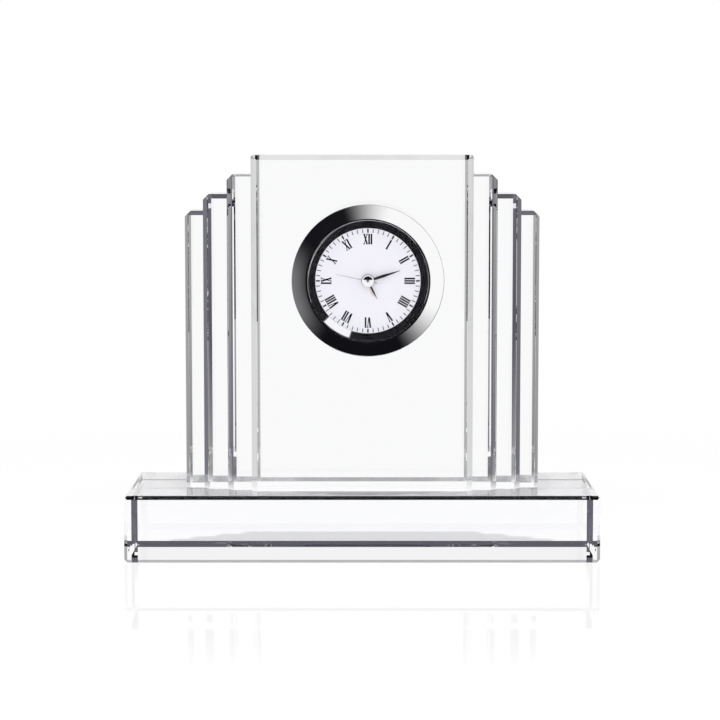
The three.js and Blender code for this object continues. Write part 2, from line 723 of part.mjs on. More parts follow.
function fifthWheel() {
  return sideWheel({
    at: fifthAt,
    wheel: {
      teeth: FIFTH_TEETH,
      module: GOING_MODULE,
      tooth: rotorTooth,
      low: fifthWheelBottom,
      high: fifthWheelTop,
    },
    pinion: {
      teeth: FIFTH_PINION_TEETH,
      module: SECONDS_MODULE,
      tooth: fifthPinionTooth,
      low: fifthWheelTop - PINION_EXTRA,
      high: secondsWheelTop + PINION_EXTRA,
    },
    low: bridgeTop + SEAT_GAP,
    high: plateBottom - SEAT_GAP,
    lowPivot: pivotFoot,
    highPivot: plateTop,
  });
}

const rotorTop = secondsWheelTop + ROTOR_LENGTH / 2;

function rotor() {
  const pinionLow = fifthWheelBottom - PINION_EXTRA;
  const magnetLow = fifthWheelTop + PINION_EXTRA;
  const leaves = toothed(ROTOR_PINION_TEETH, GOING_MODULE, rotorPinionTooth, pinionLow, magnetLow, rotorAt);
  const magnet = rod(ROTOR_RADIUS, magnetLow, rotorTop, rotorAt);
  const arbor = rod(SIDE_ARBOR_RADIUS, bridgeTop + SEAT_GAP, plateBottom - SEAT_GAP, rotorAt);
  const pivots = rod(PIVOT_RADIUS, pivotFoot, plateTop, rotorAt);
  return join([leaves, magnet, arbor, pivots]);
}

// Setting knobs: ridged caps behind the back cover, on stems that end in a pinion
const knobTop = coverBottom - SEAT_GAP;

function settingKnob(at, pinion) {
  const ridgeModule = (2 * KNOB_RADIUS) / (KNOB_RIDGES + 2);
  const ridged = toothed(KNOB_RIDGES, ridgeModule, 0, knobTop - KNOB_HEIGHT, knobTop, at);
  const leaves = toothed(pinion.teeth, pinion.module, pinion.tooth, pinion.low, pinion.high, at);
  const stem = rod(STEM_RADIUS, knobTop - KNOB_HEIGHT / 2, caseFloor - SEAT_GAP, at);
  const pivot = rod(PIVOT_RADIUS, caseFloor - 2 * SEAT_GAP, caseTop - SEAT_GAP, at);
  return join([ridged, leaves, stem, pivot]);
}

const timeSetKnob = () =>
  settingKnob(setAt, {
    teeth: SET_TEETH,
    module: MOTION_MODULE,
    tooth: setTooth,
    low: minuteWheelBottom - PINION_EXTRA,
    high: minuteWheelTop + PINION_EXTRA,
  });

const alarmSetKnob = () =>
  settingKnob(alarmSetAt, {
    teeth: ALARM_SET_TEETH,
    module: ALARM_MODULE,
    tooth: alarmSetTooth,
    low: alarmWheelBottom - PINION_EXTRA,
    high: alarmWheelTop + PINION_EXTRA,
  });

// Step motor: a flat stator loop round the rotor and through the coil
const coilTurn = radians(COIL_ANGLE);
const coilAt = polar(plateRadius - COIL_RADIUS - STATOR_BAR, coilTurn);
const alongCoil = polar(COIL_LENGTH / 2 + STATOR_BAR, coilTurn + RIGHT_ANGLE);
const coilEnds = [coilAt.clone().add(alongCoil), coilAt.clone().sub(alongCoil)];
const statorTop = (fifthWheelTop + PINION_EXTRA + rotorTop + STATOR_THICKNESS) / 2;
const statorBottom = statorTop - STATOR_THICKNESS;

function bar(from, to) {
  const middle = from.clone().add(to).multiplyScalar(0.5);
  const run = to.clone().sub(from);
  return box(run.length() + STATOR_BAR, STATOR_BAR, statorBottom, statorTop, middle, run.angle());
}

function stator() {
  const [farEnd, nearEnd] = coilEnds;
  const outward = polar(1, coilTurn);
  const corner = farEnd.clone().addScaledVector(outward, rotorAt.dot(outward) - farEnd.dot(outward));
  const ring = rod(ROTOR_RADIUS + WHEEL_GAP / 2 + STATOR_RING, statorBottom, statorTop, rotorAt, ROUND);
  const bars = [bar(rotorAt, nearEnd), bar(nearEnd, farEnd), bar(farEnd, corner), bar(corner, rotorAt)];
  const hole = rod(ROTOR_RADIUS + WHEEL_GAP / 2, statorBottom - 1, statorTop + 1, rotorAt);
  return cut(join([ring, ...bars]), [hole]);
}

function coil() {
  const inner = STATOR_BAR / 2 + SEAT_GAP;
  const half = COIL_LENGTH / 2;
  const profile = [[inner, -half], [COIL_RADIUS, -half], [COIL_RADIUS, half], [inner, half]];
  const closed = [...profile, profile[0]].map(([radius, height]) => new THREE.Vector2(radius, height));
  const drawn = new THREE.LatheGeometry(closed, SMALL).rotateZ(coilTurn);
  return solid(drawn.translate(coilAt.x, coilAt.y, (statorTop + statorBottom) / 2));
}

// Circuit board on the bridge, with its chip and quartz can
function circuitBoard() {
  const disc = rod(plateRadius, boardBottom, bridgeBottom, undefined, FINE);
  const keepAt = new THREE.Vector2(BOARD_CUT + plateRadius, 0);
  const keep = box(2 * plateRadius, 2 * plateRadius, boardBottom, bridgeBottom, keepAt);
  const hole = rod(STEM_RADIUS + WHEEL_GAP, boardBottom - 1, bridgeBottom + 1, alarmSetAt);
  return cut(disc.intersect(keep), [hole]);
}

const chip = () => {
  const at = polar(plateRadius - CHIP_SIZE, 0);
  return box(CHIP_SIZE, CHIP_SIZE, bridgeBottom, bridgeBottom + CHIP_HEIGHT, at);
};

function quartzCan() {
  const at = polar(plateRadius - 3 * QUARTZ_RADIUS, radians(52));
  const drawn = new THREE.CylinderGeometry(QUARTZ_RADIUS, QUARTZ_RADIUS, QUARTZ_LENGTH, SMALL);
  const level = bridgeBottom + SEAT_GAP + QUARTZ_RADIUS;
  return solid(drawn.rotateZ(radians(52)).translate(at.x, at.y, level));
}

// Battery, its contacts and the round hatch over it
const hatchTop = coverBottom + HATCH_THICKNESS;
const batteryBottom = hatchTop + SEAT_GAP;
const batteryTop = batteryBottom + BATTERY_HEIGHT;

const battery = () => rod(BATTERY_RADIUS, batteryBottom, batteryTop, batteryAt, ROUND);

function negativeContact() {
  const turn = radians(BATTERY_ANGLE);
  const stripTop = batteryTop + CONTACT_THICKNESS;
  const strip = box(2 * BATTERY_RADIUS, STATOR_BAR, batteryTop, stripTop, batteryAt, turn);
  const at = batteryAt.clone().sub(polar(BATTERY_RADIUS - STATOR_BAR / 2, turn));
  return strip.add(box(STATOR_BAR, STATOR_BAR, batteryTop, plateBottom, at, turn));
}

function positiveContact() {
  const inner = BATTERY_RADIUS + SEAT_GAP;
  const ring = tube(inner, inner + CONTACT_THICKNESS, batteryBottom + 1, batteryTop - 1);
  const halfAt = new THREE.Vector2(2 * inner + STATOR_BAR, 0);
  const half = box(4 * inner, 4 * inner, batteryBottom, batteryTop, halfAt);
  return ring.intersect(half).rotate([0, 0, BATTERY_ANGLE]).translate([batteryAt.x, batteryAt.y, 0]);
}

function batteryHatch() {
  const rimTop = coverBottom - SEAT_GAP;
  const rimBottom = rimTop - HATCH_RIM;
  const plug = rod(HATCH_RADIUS, rimTop - HATCH_RIM / 2, hatchTop, batteryAt, ROUND);
  const rim = rod(HATCH_RADIUS + HATCH_RIM, rimBottom, rimTop, batteryAt, ROUND);
  const slot = box(HATCH_RADIUS, 2 * HATCH_RIM, rimBottom - 1, rimBottom + HATCH_RIM / 2, batteryAt);
  return cut(join([plug, rim]), [slot]);
}

// Back cover with its holes, the buzzer inside it, the alarm switch and the screws
const switchAt = polar(SWITCH_RADIUS, radians(SWITCH_ANGLE));
const switchStem = SWITCH_WIDTH / 2;

function backCover() {
  const disc = rod(CASE_RADIUS, coverBottom, caseEnd, undefined, FINE);
  const through = (radius, at, facets) => rod(radius, coverBottom - 1, caseEnd + 1, at, facets);
  const slotLength = switchStem + SWITCH_TRAVEL + 2 * SEAT_GAP;
  const slotAt = switchAt.clone().add(new THREE.Vector2(0, -SWITCH_TRAVEL / 2));
  const slot = box(switchStem + 2 * SEAT_GAP, slotLength, coverBottom - 1, caseEnd + 1, slotAt);
  return cut(disc, [
    through(HATCH_RADIUS + SEAT_GAP, batteryAt, ROUND),
    through(stemHole, setAt),
    through(stemHole, alarmSetAt),
    ...screwPlaces.map((at) => through(SCREW_RADIUS + RUN_CLEARANCE, at)),
    slot,
  ]);
}

function alarmSwitch() {
  const top = coverBottom - SEAT_GAP;
  const thumb = box(SWITCH_WIDTH, SWITCH_LENGTH, top - SWITCH_HEIGHT, top, switchAt);
  const stem = box(switchStem, switchStem, top - SWITCH_HEIGHT / 2, caseEnd + 2 * SEAT_GAP, switchAt);
  const foot = box(SWITCH_WIDTH, SWITCH_WIDTH, caseEnd + SEAT_GAP, caseEnd + SEAT_GAP + SWITCH_FOOT, switchAt);
  return join([thumb, stem, foot]);
}

const buzzerAt = polar(caseInner - BUZZER_RADIUS - 3 * SCREW_POST_RADIUS, radians(-32));
const buzzerDisc = () =>
  rod(BUZZER_RADIUS, caseEnd, caseEnd + BUZZER_THICKNESS, buzzerAt, ROUND);

function coverScrew(at) {
  const head = rod(SCREW_HEAD_RADIUS, coverBottom - SCREW_HEAD_HEIGHT, coverBottom, at);
  const shank = rod(SCREW_RADIUS, coverBottom - SCREW_HEAD_HEIGHT / 2, caseEnd + SCREW_LENGTH - SEAT_GAP, at);
  const slot = box(2 * SCREW_HEAD_RADIUS, 0.3, coverBottom - 1, coverBottom - SCREW_HEAD_HEIGHT / 2, at);
  return cut(join([head, shank]), [slot]);
}

// Grip ring: a ribbed rubber band that holds the insert in its pocket
function gripRing() {
  const inner = CASE_RADIUS + SEAT_GAP;
  const high = -SKIRT_LENGTH;
  const ribs = 3;
  const pitch = GRIP_LENGTH / ribs;
  const profile = [[inner, high - GRIP_LENGTH]];
  for (let i = 0; i < ribs; i += 1) {
    const low = high - GRIP_LENGTH + i * pitch;
    profile.push([gripRadius - GRIP_RIB, low], [gripRadius, low + pitch / 2]);
  }
  profile.push([gripRadius - GRIP_RIB, high], [inner, high]);
  return turned(profile, FINE);
}

// Hands: lances with a round hub, drawn towards 12 and then turned clockwise
function hand({ length, width, angle, bore, low, tail = 0 }) {
  const hub = rod(bore + HUB_WALL, low, low + HAND_THICKNESS, undefined, ROUND);
  const lance = outline([
    [width * 0.28, -tail],
    [width * 0.3, bore],
    [width / 2, length * 0.42],
    [width * 0.08, length],
    [-width * 0.08, length],
    [-width / 2, length * 0.42],
    [-width * 0.3, bore],
    [-width * 0.28, -tail],
  ]);
  const hole = rod(bore, low - 1, low + 1, undefined, ROUND);
  const blade = prism(lance, low, low + HAND_THICKNESS);
  return cut(hub.add(blade), [hole]).rotate([0, 0, -angle]);
}

const alarmHand = () =>
  hand({
    length: ALARM_HAND_LENGTH,
    width: ALARM_HAND_WIDTH,
    angle: ALARM_HAND_ANGLE,
    bore: alarmPipeOuter + RUN_CLEARANCE,
    low: alarmHandBottom,
  });
const hourHand = () =>
  hand({
    length: HOUR_HAND_LENGTH,
    width: HOUR_HAND_WIDTH,
    angle: HOUR_HAND_ANGLE,
    bore: hourPipeOuter + RUN_CLEARANCE,
    low: hourHandBottom,
  });
const minuteHand = () =>
  hand({
    length: MINUTE_HAND_LENGTH,
    width: MINUTE_HAND_WIDTH,
    angle: MINUTE_HAND_ANGLE,
    bore: minutePipeOuter + RUN_CLEARANCE,
    low: minuteHandBottom,
  });
const secondHand = () =>
  hand({
    length: SECOND_HAND_LENGTH,
    width: SECOND_HAND_WIDTH,
    angle: SECOND_HAND_ANGLE,
    bore: ARBOR_RADIUS + RUN_CLEARANCE,
    low: secondHandBottom,
    tail: SECOND_HAND_TAIL,
  });

function insertParts() {
  const parts = [
    part("bezel", bezel(), CHROME),
    part("lens", lens(), CLEAR),
    part("reflector_ring", reflectorRing(), CHROME),
    part("dial", dial(), DIAL_WHITE),
    part("movement_case", movementCase(), CASE_PLASTIC),
    part("grip_ring", gripRing(), RUBBER),
    part("main_plate", mainPlate(), GEAR_PLASTIC),
    part("bridge", bridge(), GEAR_PLASTIC),
    part("alarm_wheel", alarmWheel(), GEAR_PLASTIC),
    part("hour_wheel", hourWheel(), GEAR_PLASTIC),
    part("cannon_pinion", cannonPinion(), BRASS),
    part("centre_wheel", centreWheel(), BRASS),
    part("seconds_arbor", secondsArbor(), STEEL),
    part("minute_wheel", minuteWheel(), GEAR_PLASTIC),
    part("third_wheel", thirdWheel(), GEAR_PLASTIC),
    part("fifth_wheel", fifthWheel(), GEAR_PLASTIC),
    part("rotor", rotor(), STEEL),
    part("time_set_knob", timeSetKnob(), CASE_PLASTIC),
    part("alarm_set_knob", alarmSetKnob(), CASE_PLASTIC),
    part("stator", stator(), STEEL),
    part("coil", coil(), COPPER),
    part("circuit_board", circuitBoard(), BOARD_GREEN),
    part("chip", chip(), GLOSS_BLACK),
    part("quartz_can", quartzCan(), STEEL),
    part("battery", battery(), STEEL),
    part("negative_contact", negativeContact(), BRASS),
    part("positive_contact", positiveContact(), BRASS),
    part("battery_hatch", batteryHatch(), CASE_PLASTIC),
    part("back_cover", backCover(), CASE_PLASTIC),
    part("alarm_switch", alarmSwitch(), CASE_PLASTIC),
    part("buzzer_disc", buzzerDisc(), BRASS),
    part("alarm_hand", alarmHand(), COPPER),
    part("hour_hand", hourHand(), HAND_BLACK),
    part("minute_hand", minuteHand(), HAND_BLACK),
    part("second_hand", secondHand(), SILVER),
  ];
  screwPlaces.forEach((at, i) => parts.push(part(`cover_screw_${i + 1}`, coverScrew(at), STEEL)));
  return parts;
}

const insert = new THREE.Group();
insert.add(...insertParts());
insert.rotation.x = RIGHT_ANGLE;
insert.position.set(CLOCK_OFFSET, centreFace, clockHeight);

const clock = new THREE.Group();
clock.add(...crystalParts(), insert);

export default clock;
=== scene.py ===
"""Crystal desk clock on a white studio floor: stepped crystal blocks with a round alarm clock insert."""
import json
import math

import bmesh
import bpy
from mathutils import Matrix, Vector


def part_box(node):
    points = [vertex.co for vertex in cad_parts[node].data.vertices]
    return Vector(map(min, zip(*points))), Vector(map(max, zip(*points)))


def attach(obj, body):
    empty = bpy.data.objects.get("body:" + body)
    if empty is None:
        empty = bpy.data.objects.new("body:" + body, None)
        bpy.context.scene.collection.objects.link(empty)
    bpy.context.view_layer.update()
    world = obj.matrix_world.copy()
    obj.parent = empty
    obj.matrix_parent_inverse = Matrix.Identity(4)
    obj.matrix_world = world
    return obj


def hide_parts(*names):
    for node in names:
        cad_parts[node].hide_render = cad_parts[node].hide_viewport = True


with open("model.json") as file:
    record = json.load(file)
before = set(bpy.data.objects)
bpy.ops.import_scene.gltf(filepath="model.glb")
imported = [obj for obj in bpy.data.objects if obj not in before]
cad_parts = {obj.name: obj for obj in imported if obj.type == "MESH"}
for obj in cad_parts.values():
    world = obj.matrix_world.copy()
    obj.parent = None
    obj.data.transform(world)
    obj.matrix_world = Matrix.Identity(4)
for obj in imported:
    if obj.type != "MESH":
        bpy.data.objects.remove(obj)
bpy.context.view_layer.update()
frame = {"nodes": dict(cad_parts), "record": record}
nodes = frame["nodes"]

MM = 0.001

# Camera, in metres and degrees, its focal length in pixels of a picture 720 pixels wide, and its sideways
# shift as a share of the picture's width
CAMERA_PLACE = (0.0, -0.7692, 0.1379)
CAMERA_PITCH = -5.573
CAMERA_SHIFT = -0.003
FOCAL_PIXELS = 2344.1
PICTURE_PIXELS = 720

# Light: the strength of the studio's soft light from the front and from the back, the seam between the two
# in degrees from ahead, how often light may bounce, and a small lamp overhead in watts and metres
FRONT_LIGHT = 1.08
BACK_LIGHT = 0.15
LIGHT_SEAM = (80.0, 100.0)
GLASS_BOUNCES = 28
OTHER_BOUNCES = 24
KEY_POWER = 6.8
KEY_PLACE = (0.0, -0.22, 1.0)
KEY_AIM = (0.0, 0.0, 0.07)
KEY_SIZE = 0.012

# Floor, in metres from the middle of the base: its half size, where it fades out for plain rays and for
# rays that glass or metal sent, where its gloss fades out, and the y in front of which it is clear for
# mirrored rays
FLOOR_HALF = 1.2
FLOOR_FADE = (0.2, 0.4)
FLOOR_FADE_SHARP = (0.12, 0.17)
GLOSS_FADE = (0.13, 0.2)
FRONT_STRIP_Y = -0.03
# How far it lies under the base in millimetres, and its glow's and its gloss's share for camera rays
FLOOR_DROP = 0.02
GLOW_SHARE = 0.8
GLOSS_SHARE = 0.13
FLOOR_PAINTS = [(0.855, 0.855, 0.858, 1), (0.865, 0.865, 0.868, 1)]

# The painted contact shadow, a dark strip on the floor at the base's back edge, in millimetres: how far it
# reaches under the base and behind it, the fade at its edges, and how long a ray from the glass to it may
# be, with that limit's fade
FOOT_SHADOW_UNDER = 2.0
FOOT_SHADOW_BEHIND = 1.2
FOOT_SHADOW_EDGE = 0.5
FOOT_SHADOW_RAY = (0.4, 2.0)
FOOT_SHADOW_RAY_EDGE = 0.3

# The crystal's surroundings in degrees: the edges of the windows at its front and back and of the white at
# its sides, from the front to back line, and the edges of the white below and of the sky above the flags
WINDOW_EDGES = (17, 22)
SIDE_WINDOW_EDGES = (68, 73)
LOW_WINDOW_EDGES = (-13, -11)
OVERHEAD_EDGES = (33.0, 38.0)

# What the clock's metal sees, as from, to and fade in degrees, clockwise from 12 o'clock and outwards from
# ahead: a soft box, a strip of light, a dim box without an outer end, and a screen as high as SCREEN_TOP
BOX_ROUND = (22, 112, 44)
BOX_OUT = (50, 78, 2)
STRIP_ROUND = (21, 51, 1)
STRIP_OUT = (28, 47, 1)
DIM_ROUND = (-112, -92, 34)
DIM_OUT = (46, 76)
SCREEN_OUT = (8, 26, 1)
SCREEN_TOP = 3.0

# Degrees from ahead within which three kinds of ray see what the clock's metal sees: rays that the crystal
# turned back, rays that the metal under the lens mirrored, and rays that never went through glass
CRYSTAL_AHEAD = (28.0, 49.0)
CLOCK_AHEAD = 80.0
FRONT_HALF = 100.0

# Brightness of the front and back windows, by elevation in degrees, for rays through the crystal
WINDOW_TONES = [
    (-90, 0.004), (-34, 0.004), (-31, 0.15), (-28.65, 0.2), (-28.35, 0.16), (-27.95, 0.06), (-27.7, 0.06),
    (-27.5, 0.8), (-26.5, 1.0), (7.9, 1.0), (8.2, 0.5), (9.2, 0.5), (9.7, 0.94), (17, 0.94), (18.2, 0.5),
    (19.5, 0.5), (21, 0.8), (25, 0.17), (26, 0.11), (30, 0.09), (34, 0.004), (70, 0.004), (78, 0.12),
    (90, 0.12),
]
# Brightness of the grey flags between the windows, by the angle from the front to back line in degrees
FLAG_TONES = [
    (0, 0.45), (23.4, 0.45), (23.5, 0.18), (24.3, 0.18), (24.5, 0.72), (26, 0.72), (30, 0.14), (33, 0.14),
    (39, 0.6), (60, 0.6), (68, 0.14), (84, 0.14), (85.3, 0.16), (85.6, 0.42), (85.95, 0.42), (86.1, 0.1),
    (86.4, 0.1), (86.6, 0.35), (87.2, 0.5), (90, 0.5),
]

# Brightness of what the crystal's outer faces mirror, by elevation in degrees
MIRROR_TONES = [
    (-90, 1.0), (7.5, 1.0), (8.2, 0.8), (8.8, 0.95), (40, 0.95), (60, 0.3), (72, 0.004), (90, 0.004),
]

# Colours. SHADE tints what is darker than the first of SHADE_EDGES, and nothing brighter than the second
WHITE = (1, 1, 1, 1)
DARK = (0.006, 0.006, 0.008, 1)
DIM = (0.2, 0.2, 0.205, 1)
SHADE = (1.0, 0.97, 1.22, 1)
SHADE_EDGES = (0.05, 0.35)

# How many degrees the flags' edges bend away from the front to back line, per elevation squared
FLAG_BEND = 0.0062

# Clock axis and levels: r is from the axis and u is out of the centre block's face, both in millimetres
lens_low, lens_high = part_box("lens")
bezel_low, bezel_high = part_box("bezel")
dial_low, dial_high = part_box("dial")
case_low, case_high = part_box("movement_case")
grip_low, grip_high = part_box("grip_ring")
block_low, block_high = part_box("centre_block")
AXIS_X = (lens_low.x + lens_high.x) / 2
AXIS_Z = (lens_low.z + lens_high.z) / 2
FACE_Y = block_low.y
BASE_TOP = block_low.z


def level(y):
    return (FACE_Y - y) / MM


def radius(low, high):
    return (high.x - low.x) / 2 / MM


BEZEL_RADIUS = radius(bezel_low, bezel_high)
BEZEL_TOP = level(bezel_low.y)
SKIRT_END = level(bezel_high.y)
LENS_RADIUS = radius(lens_low, lens_high)
LENS_TOP = level(lens_low.y)
LENS_BOTTOM = level(lens_high.y)
DIAL_RADIUS = radius(dial_low, dial_high)
DIAL_TOP = level(dial_low.y)
DIAL_BOTTOM = level(dial_high.y)
CASE_RADIUS = radius(case_low, case_high)
CASE_END = level(case_high.y)
GRIP_RADIUS = radius(grip_low, grip_high)
GRIP_TOP = level(grip_low.y)
GRIP_END = level(grip_high.y)
SEAT_GAP = 0.15
VIEW_RADIUS = 16.9
REFLECTOR_RISE = 1.1
LIP_WIDTH = 0.65
SKIRT_WALL = 0.8
HUB_RADIUS = 1.95
HUB_BORE = 0.42
HUB_PLATE = 0.08
PIN_RADIUS = 0.36
LATHE_STEPS = 192

# The tools that fill the crystal's pocket and drill it again, in millimetres: the plug is thicker and
# longer than the drill, and the drill starts a little in front of the face
DRILL_RADIUS = GRIP_RADIUS + SEAT_GAP
DRILL_LENGTH = 17.2
DRILL_OUT = 1.0
DRILL_STEPS = 256
PLUG_EXTRA = 0.6
PLUG_LONGER = 0.4


def grey(tone):
    return (tone, tone, tone, 1)


class Shader:
    """Adds nodes to a node tree. A number, a colour or another node's socket can be given for any input."""

    def __init__(self, tree):
        self.tree = tree
        tree.nodes.clear()

    def add(self, kind, inputs=None, **settings):
        made = self.tree.nodes.new(kind)
        for name, value in settings.items():
            setattr(made, name, value)
        for name, value in (inputs or {}).items():
            self.give(made.inputs[name], value)
        return made

    def give(self, socket, value):
        if isinstance(value, bpy.types.NodeSocket):
            self.tree.links.new(value, socket)
        else:
            socket.default_value = value

    def math(self, operation, a, b=0.0, c=0.0):
        return self.add("ShaderNodeMath", {0: a, 1: b, 2: c}, operation=operation).outputs[0]

    def all_of(self, *masks):
        """1 where all masks are 1, and 0 where one of them is 0."""
        result = masks[0]
        for mask in masks[1:]:
            result = self.math("MULTIPLY", result, mask)
        return result

    def any_of(self, *masks):
        """1 where one of the masks is 1, and 0 where all of them are 0."""
        result = masks[0]
        for mask in masks[1:]:
            result = self.math("MAXIMUM", result, mask)
        return result

    def opposite(self, mask):
        return self.math("SUBTRACT", 1.0, mask)

    def less(self, value, limit):
        return self.math("LESS_THAN", value, limit)

    def more(self, value, limit):
        return self.math("GREATER_THAN", value, limit)

    def step(self, value, low, high):
        """0 below low and 1 above high, with a smooth step between."""
        inputs = {"Value": value, "From Min": low, "From Max": high}
        made = self.add("ShaderNodeMapRange", inputs, interpolation_type="SMOOTHSTEP")
        return made.outputs["Result"]

    def between(self, value, low, high, edge):
        """1 between low and high, fading to 0 over edge on both sides."""
        above = self.step(value, low - edge, low)
        return self.all_of(above, self.opposite(self.step(value, high, high + edge)))

    def tones(self, value, low, high, stops):
        """Grey tones at stops of value, as (value, tone) pairs between low and high."""
        share = self.math("DIVIDE", self.math("SUBTRACT", value, low), high - low)
        made = self.add("ShaderNodeValToRGB", {0: share})
        elements = made.color_ramp.elements
        while len(elements) > 1:
            elements.remove(elements[-1])
        for i, (place, tone) in enumerate(stops):
            at = (place - low) / (high - low)
            element = elements[0] if i == 0 else elements.new(at)
            element.position = at
            element.color = grey(tone)
        return made.outputs["Color"]

    def mix(self, factor, a, b):
        return self.add("ShaderNodeMix", {0: factor, 6: a, 7: b}, data_type="RGBA").outputs[2]

    def tint(self, a, b):
        """Colour a times colour b."""
        inputs = {0: 1.0, 6: a, 7: b}
        return self.add("ShaderNodeMix", inputs, data_type="RGBA", blend_type="MULTIPLY").outputs[2]

    def luma(self, colour):
        return self.add("ShaderNodeRGBToBW", {0: colour}).outputs[0]

    def blend(self, factor, a, b):
        return self.add("ShaderNodeMixShader", {0: factor, 1: a, 2: b}).outputs[0]

    def noise(self, scale, detail=3.0):
        inputs = {"Vector": self.object_place(), "Scale": scale, "Detail": detail}
        return self.add("ShaderNodeTexNoise", inputs).outputs[0]

    def object_place(self):
        return self.add("ShaderNodeTexCoord").outputs["Object"]

    def parts(self, vector):
        """The x, y and z of a vector."""
        return self.add("ShaderNodeSeparateXYZ", {0: vector}).outputs[:3]

    def reached(self, depth, count):
        """1 for rays whose depth, a whole number, has come to count."""
        return self.more(depth, count - 0.5)

    def sharp_rays(self, light):
        """1 for rays that metal or glass sent."""
        return self.any_of(light.outputs["Is Glossy Ray"], light.outputs["Is Transmission Ray"])

    def behind_lens(self, light):
        """1 for rays that went in through the lens, were mirrored once by the metal and came out again."""
        mirrored_once = self.math("COMPARE", light.outputs["Glossy Depth"], 1.0, 0.5)
        return self.all_of(mirrored_once, self.reached(light.outputs["Transmission Depth"], 4))

    def bump(self, height, strength, distance):
        inputs = {"Height": height, "Strength": strength, "Distance": distance}
        return self.add("ShaderNodeBump", inputs).outputs[0]


def material(name):
    made = bpy.data.materials.new(name)
    made.use_nodes = True
    return made, Shader(made.node_tree)


def finish_material(made, shader, surface):
    output = shader.add("ShaderNodeOutputMaterial")
    shader.give(output.inputs["Surface"], surface)
    return made


# How fine the soft patches of colour are
PATCH_SCALE = 60

# Glass: how deep its ripple is in millimetres, and how much light each face of the lens lets through
RIPPLE = 0.0002
LENS_SHADE = (0.98, 0.98, 0.985)

# The hatch's coin slot, painted black as shade: the painted shade's tone, and how deep under the hatch's
# back it starts, in millimetres
SLOT_SHADE_TONE = 0.005
SLOT_DEPTH = 0.15
HATCH_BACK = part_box("battery_hatch")[1].y


def surface_material(name, dark, light, rough, grain, grain_depth, metal=0.0, specular=0.5, painted_shade_below=None):
    """A surface whose colour and roughness vary in soft patches, with a fine grain in its relief. Where its
    y is lower than painted_shade_below, as in a slot cut into its back, it is painted black as shade."""
    made, s = material(name)
    patches = s.noise(PATCH_SCALE)
    colour = s.mix(patches, (*dark, 1), (*light, 1))
    if painted_shade_below is not None:
        # Painted shade: below that y, as in the hatch's slot, the colour is black
        colour = s.mix(s.less(s.parts(s.object_place())[1], painted_shade_below), colour, grey(SLOT_SHADE_TONE))
    inputs = {
        "Base Color": colour,
        "Roughness": s.math("MULTIPLY_ADD", patches, rough[1] - rough[0], rough[0]),
        "Metallic": metal,
        "Specular IOR Level": specular,
        "Normal": s.bump(s.noise(grain, 4.0), 0.6, grain_depth * MM),
    }
    return finish_material(made, s, s.add("ShaderNodeBsdfPrincipled", inputs).outputs[0])


def clear_material(name, tint, low_shade, high_shade, ior=1.52):
    """Clear glass. Diffuse rays pass straight through it, and so do shadow rays, which each face dims: by
    low_shade in the base and by high_shade above it."""
    made, s = material(name)
    inputs = {
        "Base Color": (*tint, 1),
        "Roughness": 0.0,
        "IOR": ior,
        "Transmission Weight": 1.0,
        "Normal": s.bump(s.noise(30, 1.0), 0.3, RIPPLE * MM),
    }
    glass = s.add("ShaderNodeBsdfPrincipled", inputs).outputs[0]
    light = s.add("ShaderNodeLightPath")
    height = s.parts(s.object_place())[2]
    shade = s.mix(s.more(height, BASE_TOP + MM), (*low_shade, 1), (*high_shade, 1))
    dimmed = s.mix(light.outputs["Is Shadow Ray"], (*LENS_SHADE, 1), shade)
    through = s.add("ShaderNodeBsdfTransparent", {"Color": dimmed}).outputs[0]
    soft = s.any_of(light.outputs["Is Shadow Ray"], light.outputs["Is Diffuse Ray"])
    return finish_material(made, s, s.blend(soft, glass, through))


crystal_glass = clear_material("crystal_glass", (0.99, 0.992, 1.0), (0.93, 0.93, 0.94), (0.72, 0.72, 0.74))
lens_glass = clear_material("lens_glass", (0.99, 0.99, 1.0), LENS_SHADE, LENS_SHADE, ior=1.12)
chrome = surface_material(
    "chrome", (0.92, 0.92, 0.93), (0.96, 0.96, 0.97), (0.03, 0.07),
    grain=900, grain_depth=0.0004, metal=1.0
)
dial_white = surface_material(
    "dial_white", (0.90, 0.892, 0.945), (0.93, 0.922, 0.97), (0.4, 0.5),
    grain=2500, grain_depth=0.001
)
print_black = surface_material(
    "print_black", (0.003, 0.003, 0.004), (0.008, 0.008, 0.01), (0.5, 0.6),
    grain=2500, grain_depth=0.002, specular=0.1
)
hand_black = surface_material(
    "hand_black", (0.008, 0.008, 0.01), (0.02, 0.02, 0.022), (0.25, 0.4),
    grain=2000, grain_depth=0.001, metal=0.2
)
hand_silver = surface_material(
    "hand_silver", (0.55, 0.55, 0.58), (0.68, 0.68, 0.70), (0.3, 0.45),
    grain=2000, grain_depth=0.001, metal=0.7
)
hand_copper = surface_material(
    "hand_copper", (0.84, 0.68, 0.62), (0.9, 0.76, 0.7), (0.3, 0.45),
    grain=2000, grain_depth=0.001, metal=0.1
)
case_plastic = surface_material(
    "case_plastic", (0.012, 0.012, 0.013), (0.03, 0.03, 0.032), (0.4, 0.6),
    grain=1600, grain_depth=0.02
)
knob_plastic = surface_material(
    "knob_plastic", (0.11, 0.11, 0.112), (0.15, 0.15, 0.152), (0.35, 0.5),
    grain=1600, grain_depth=0.02
)
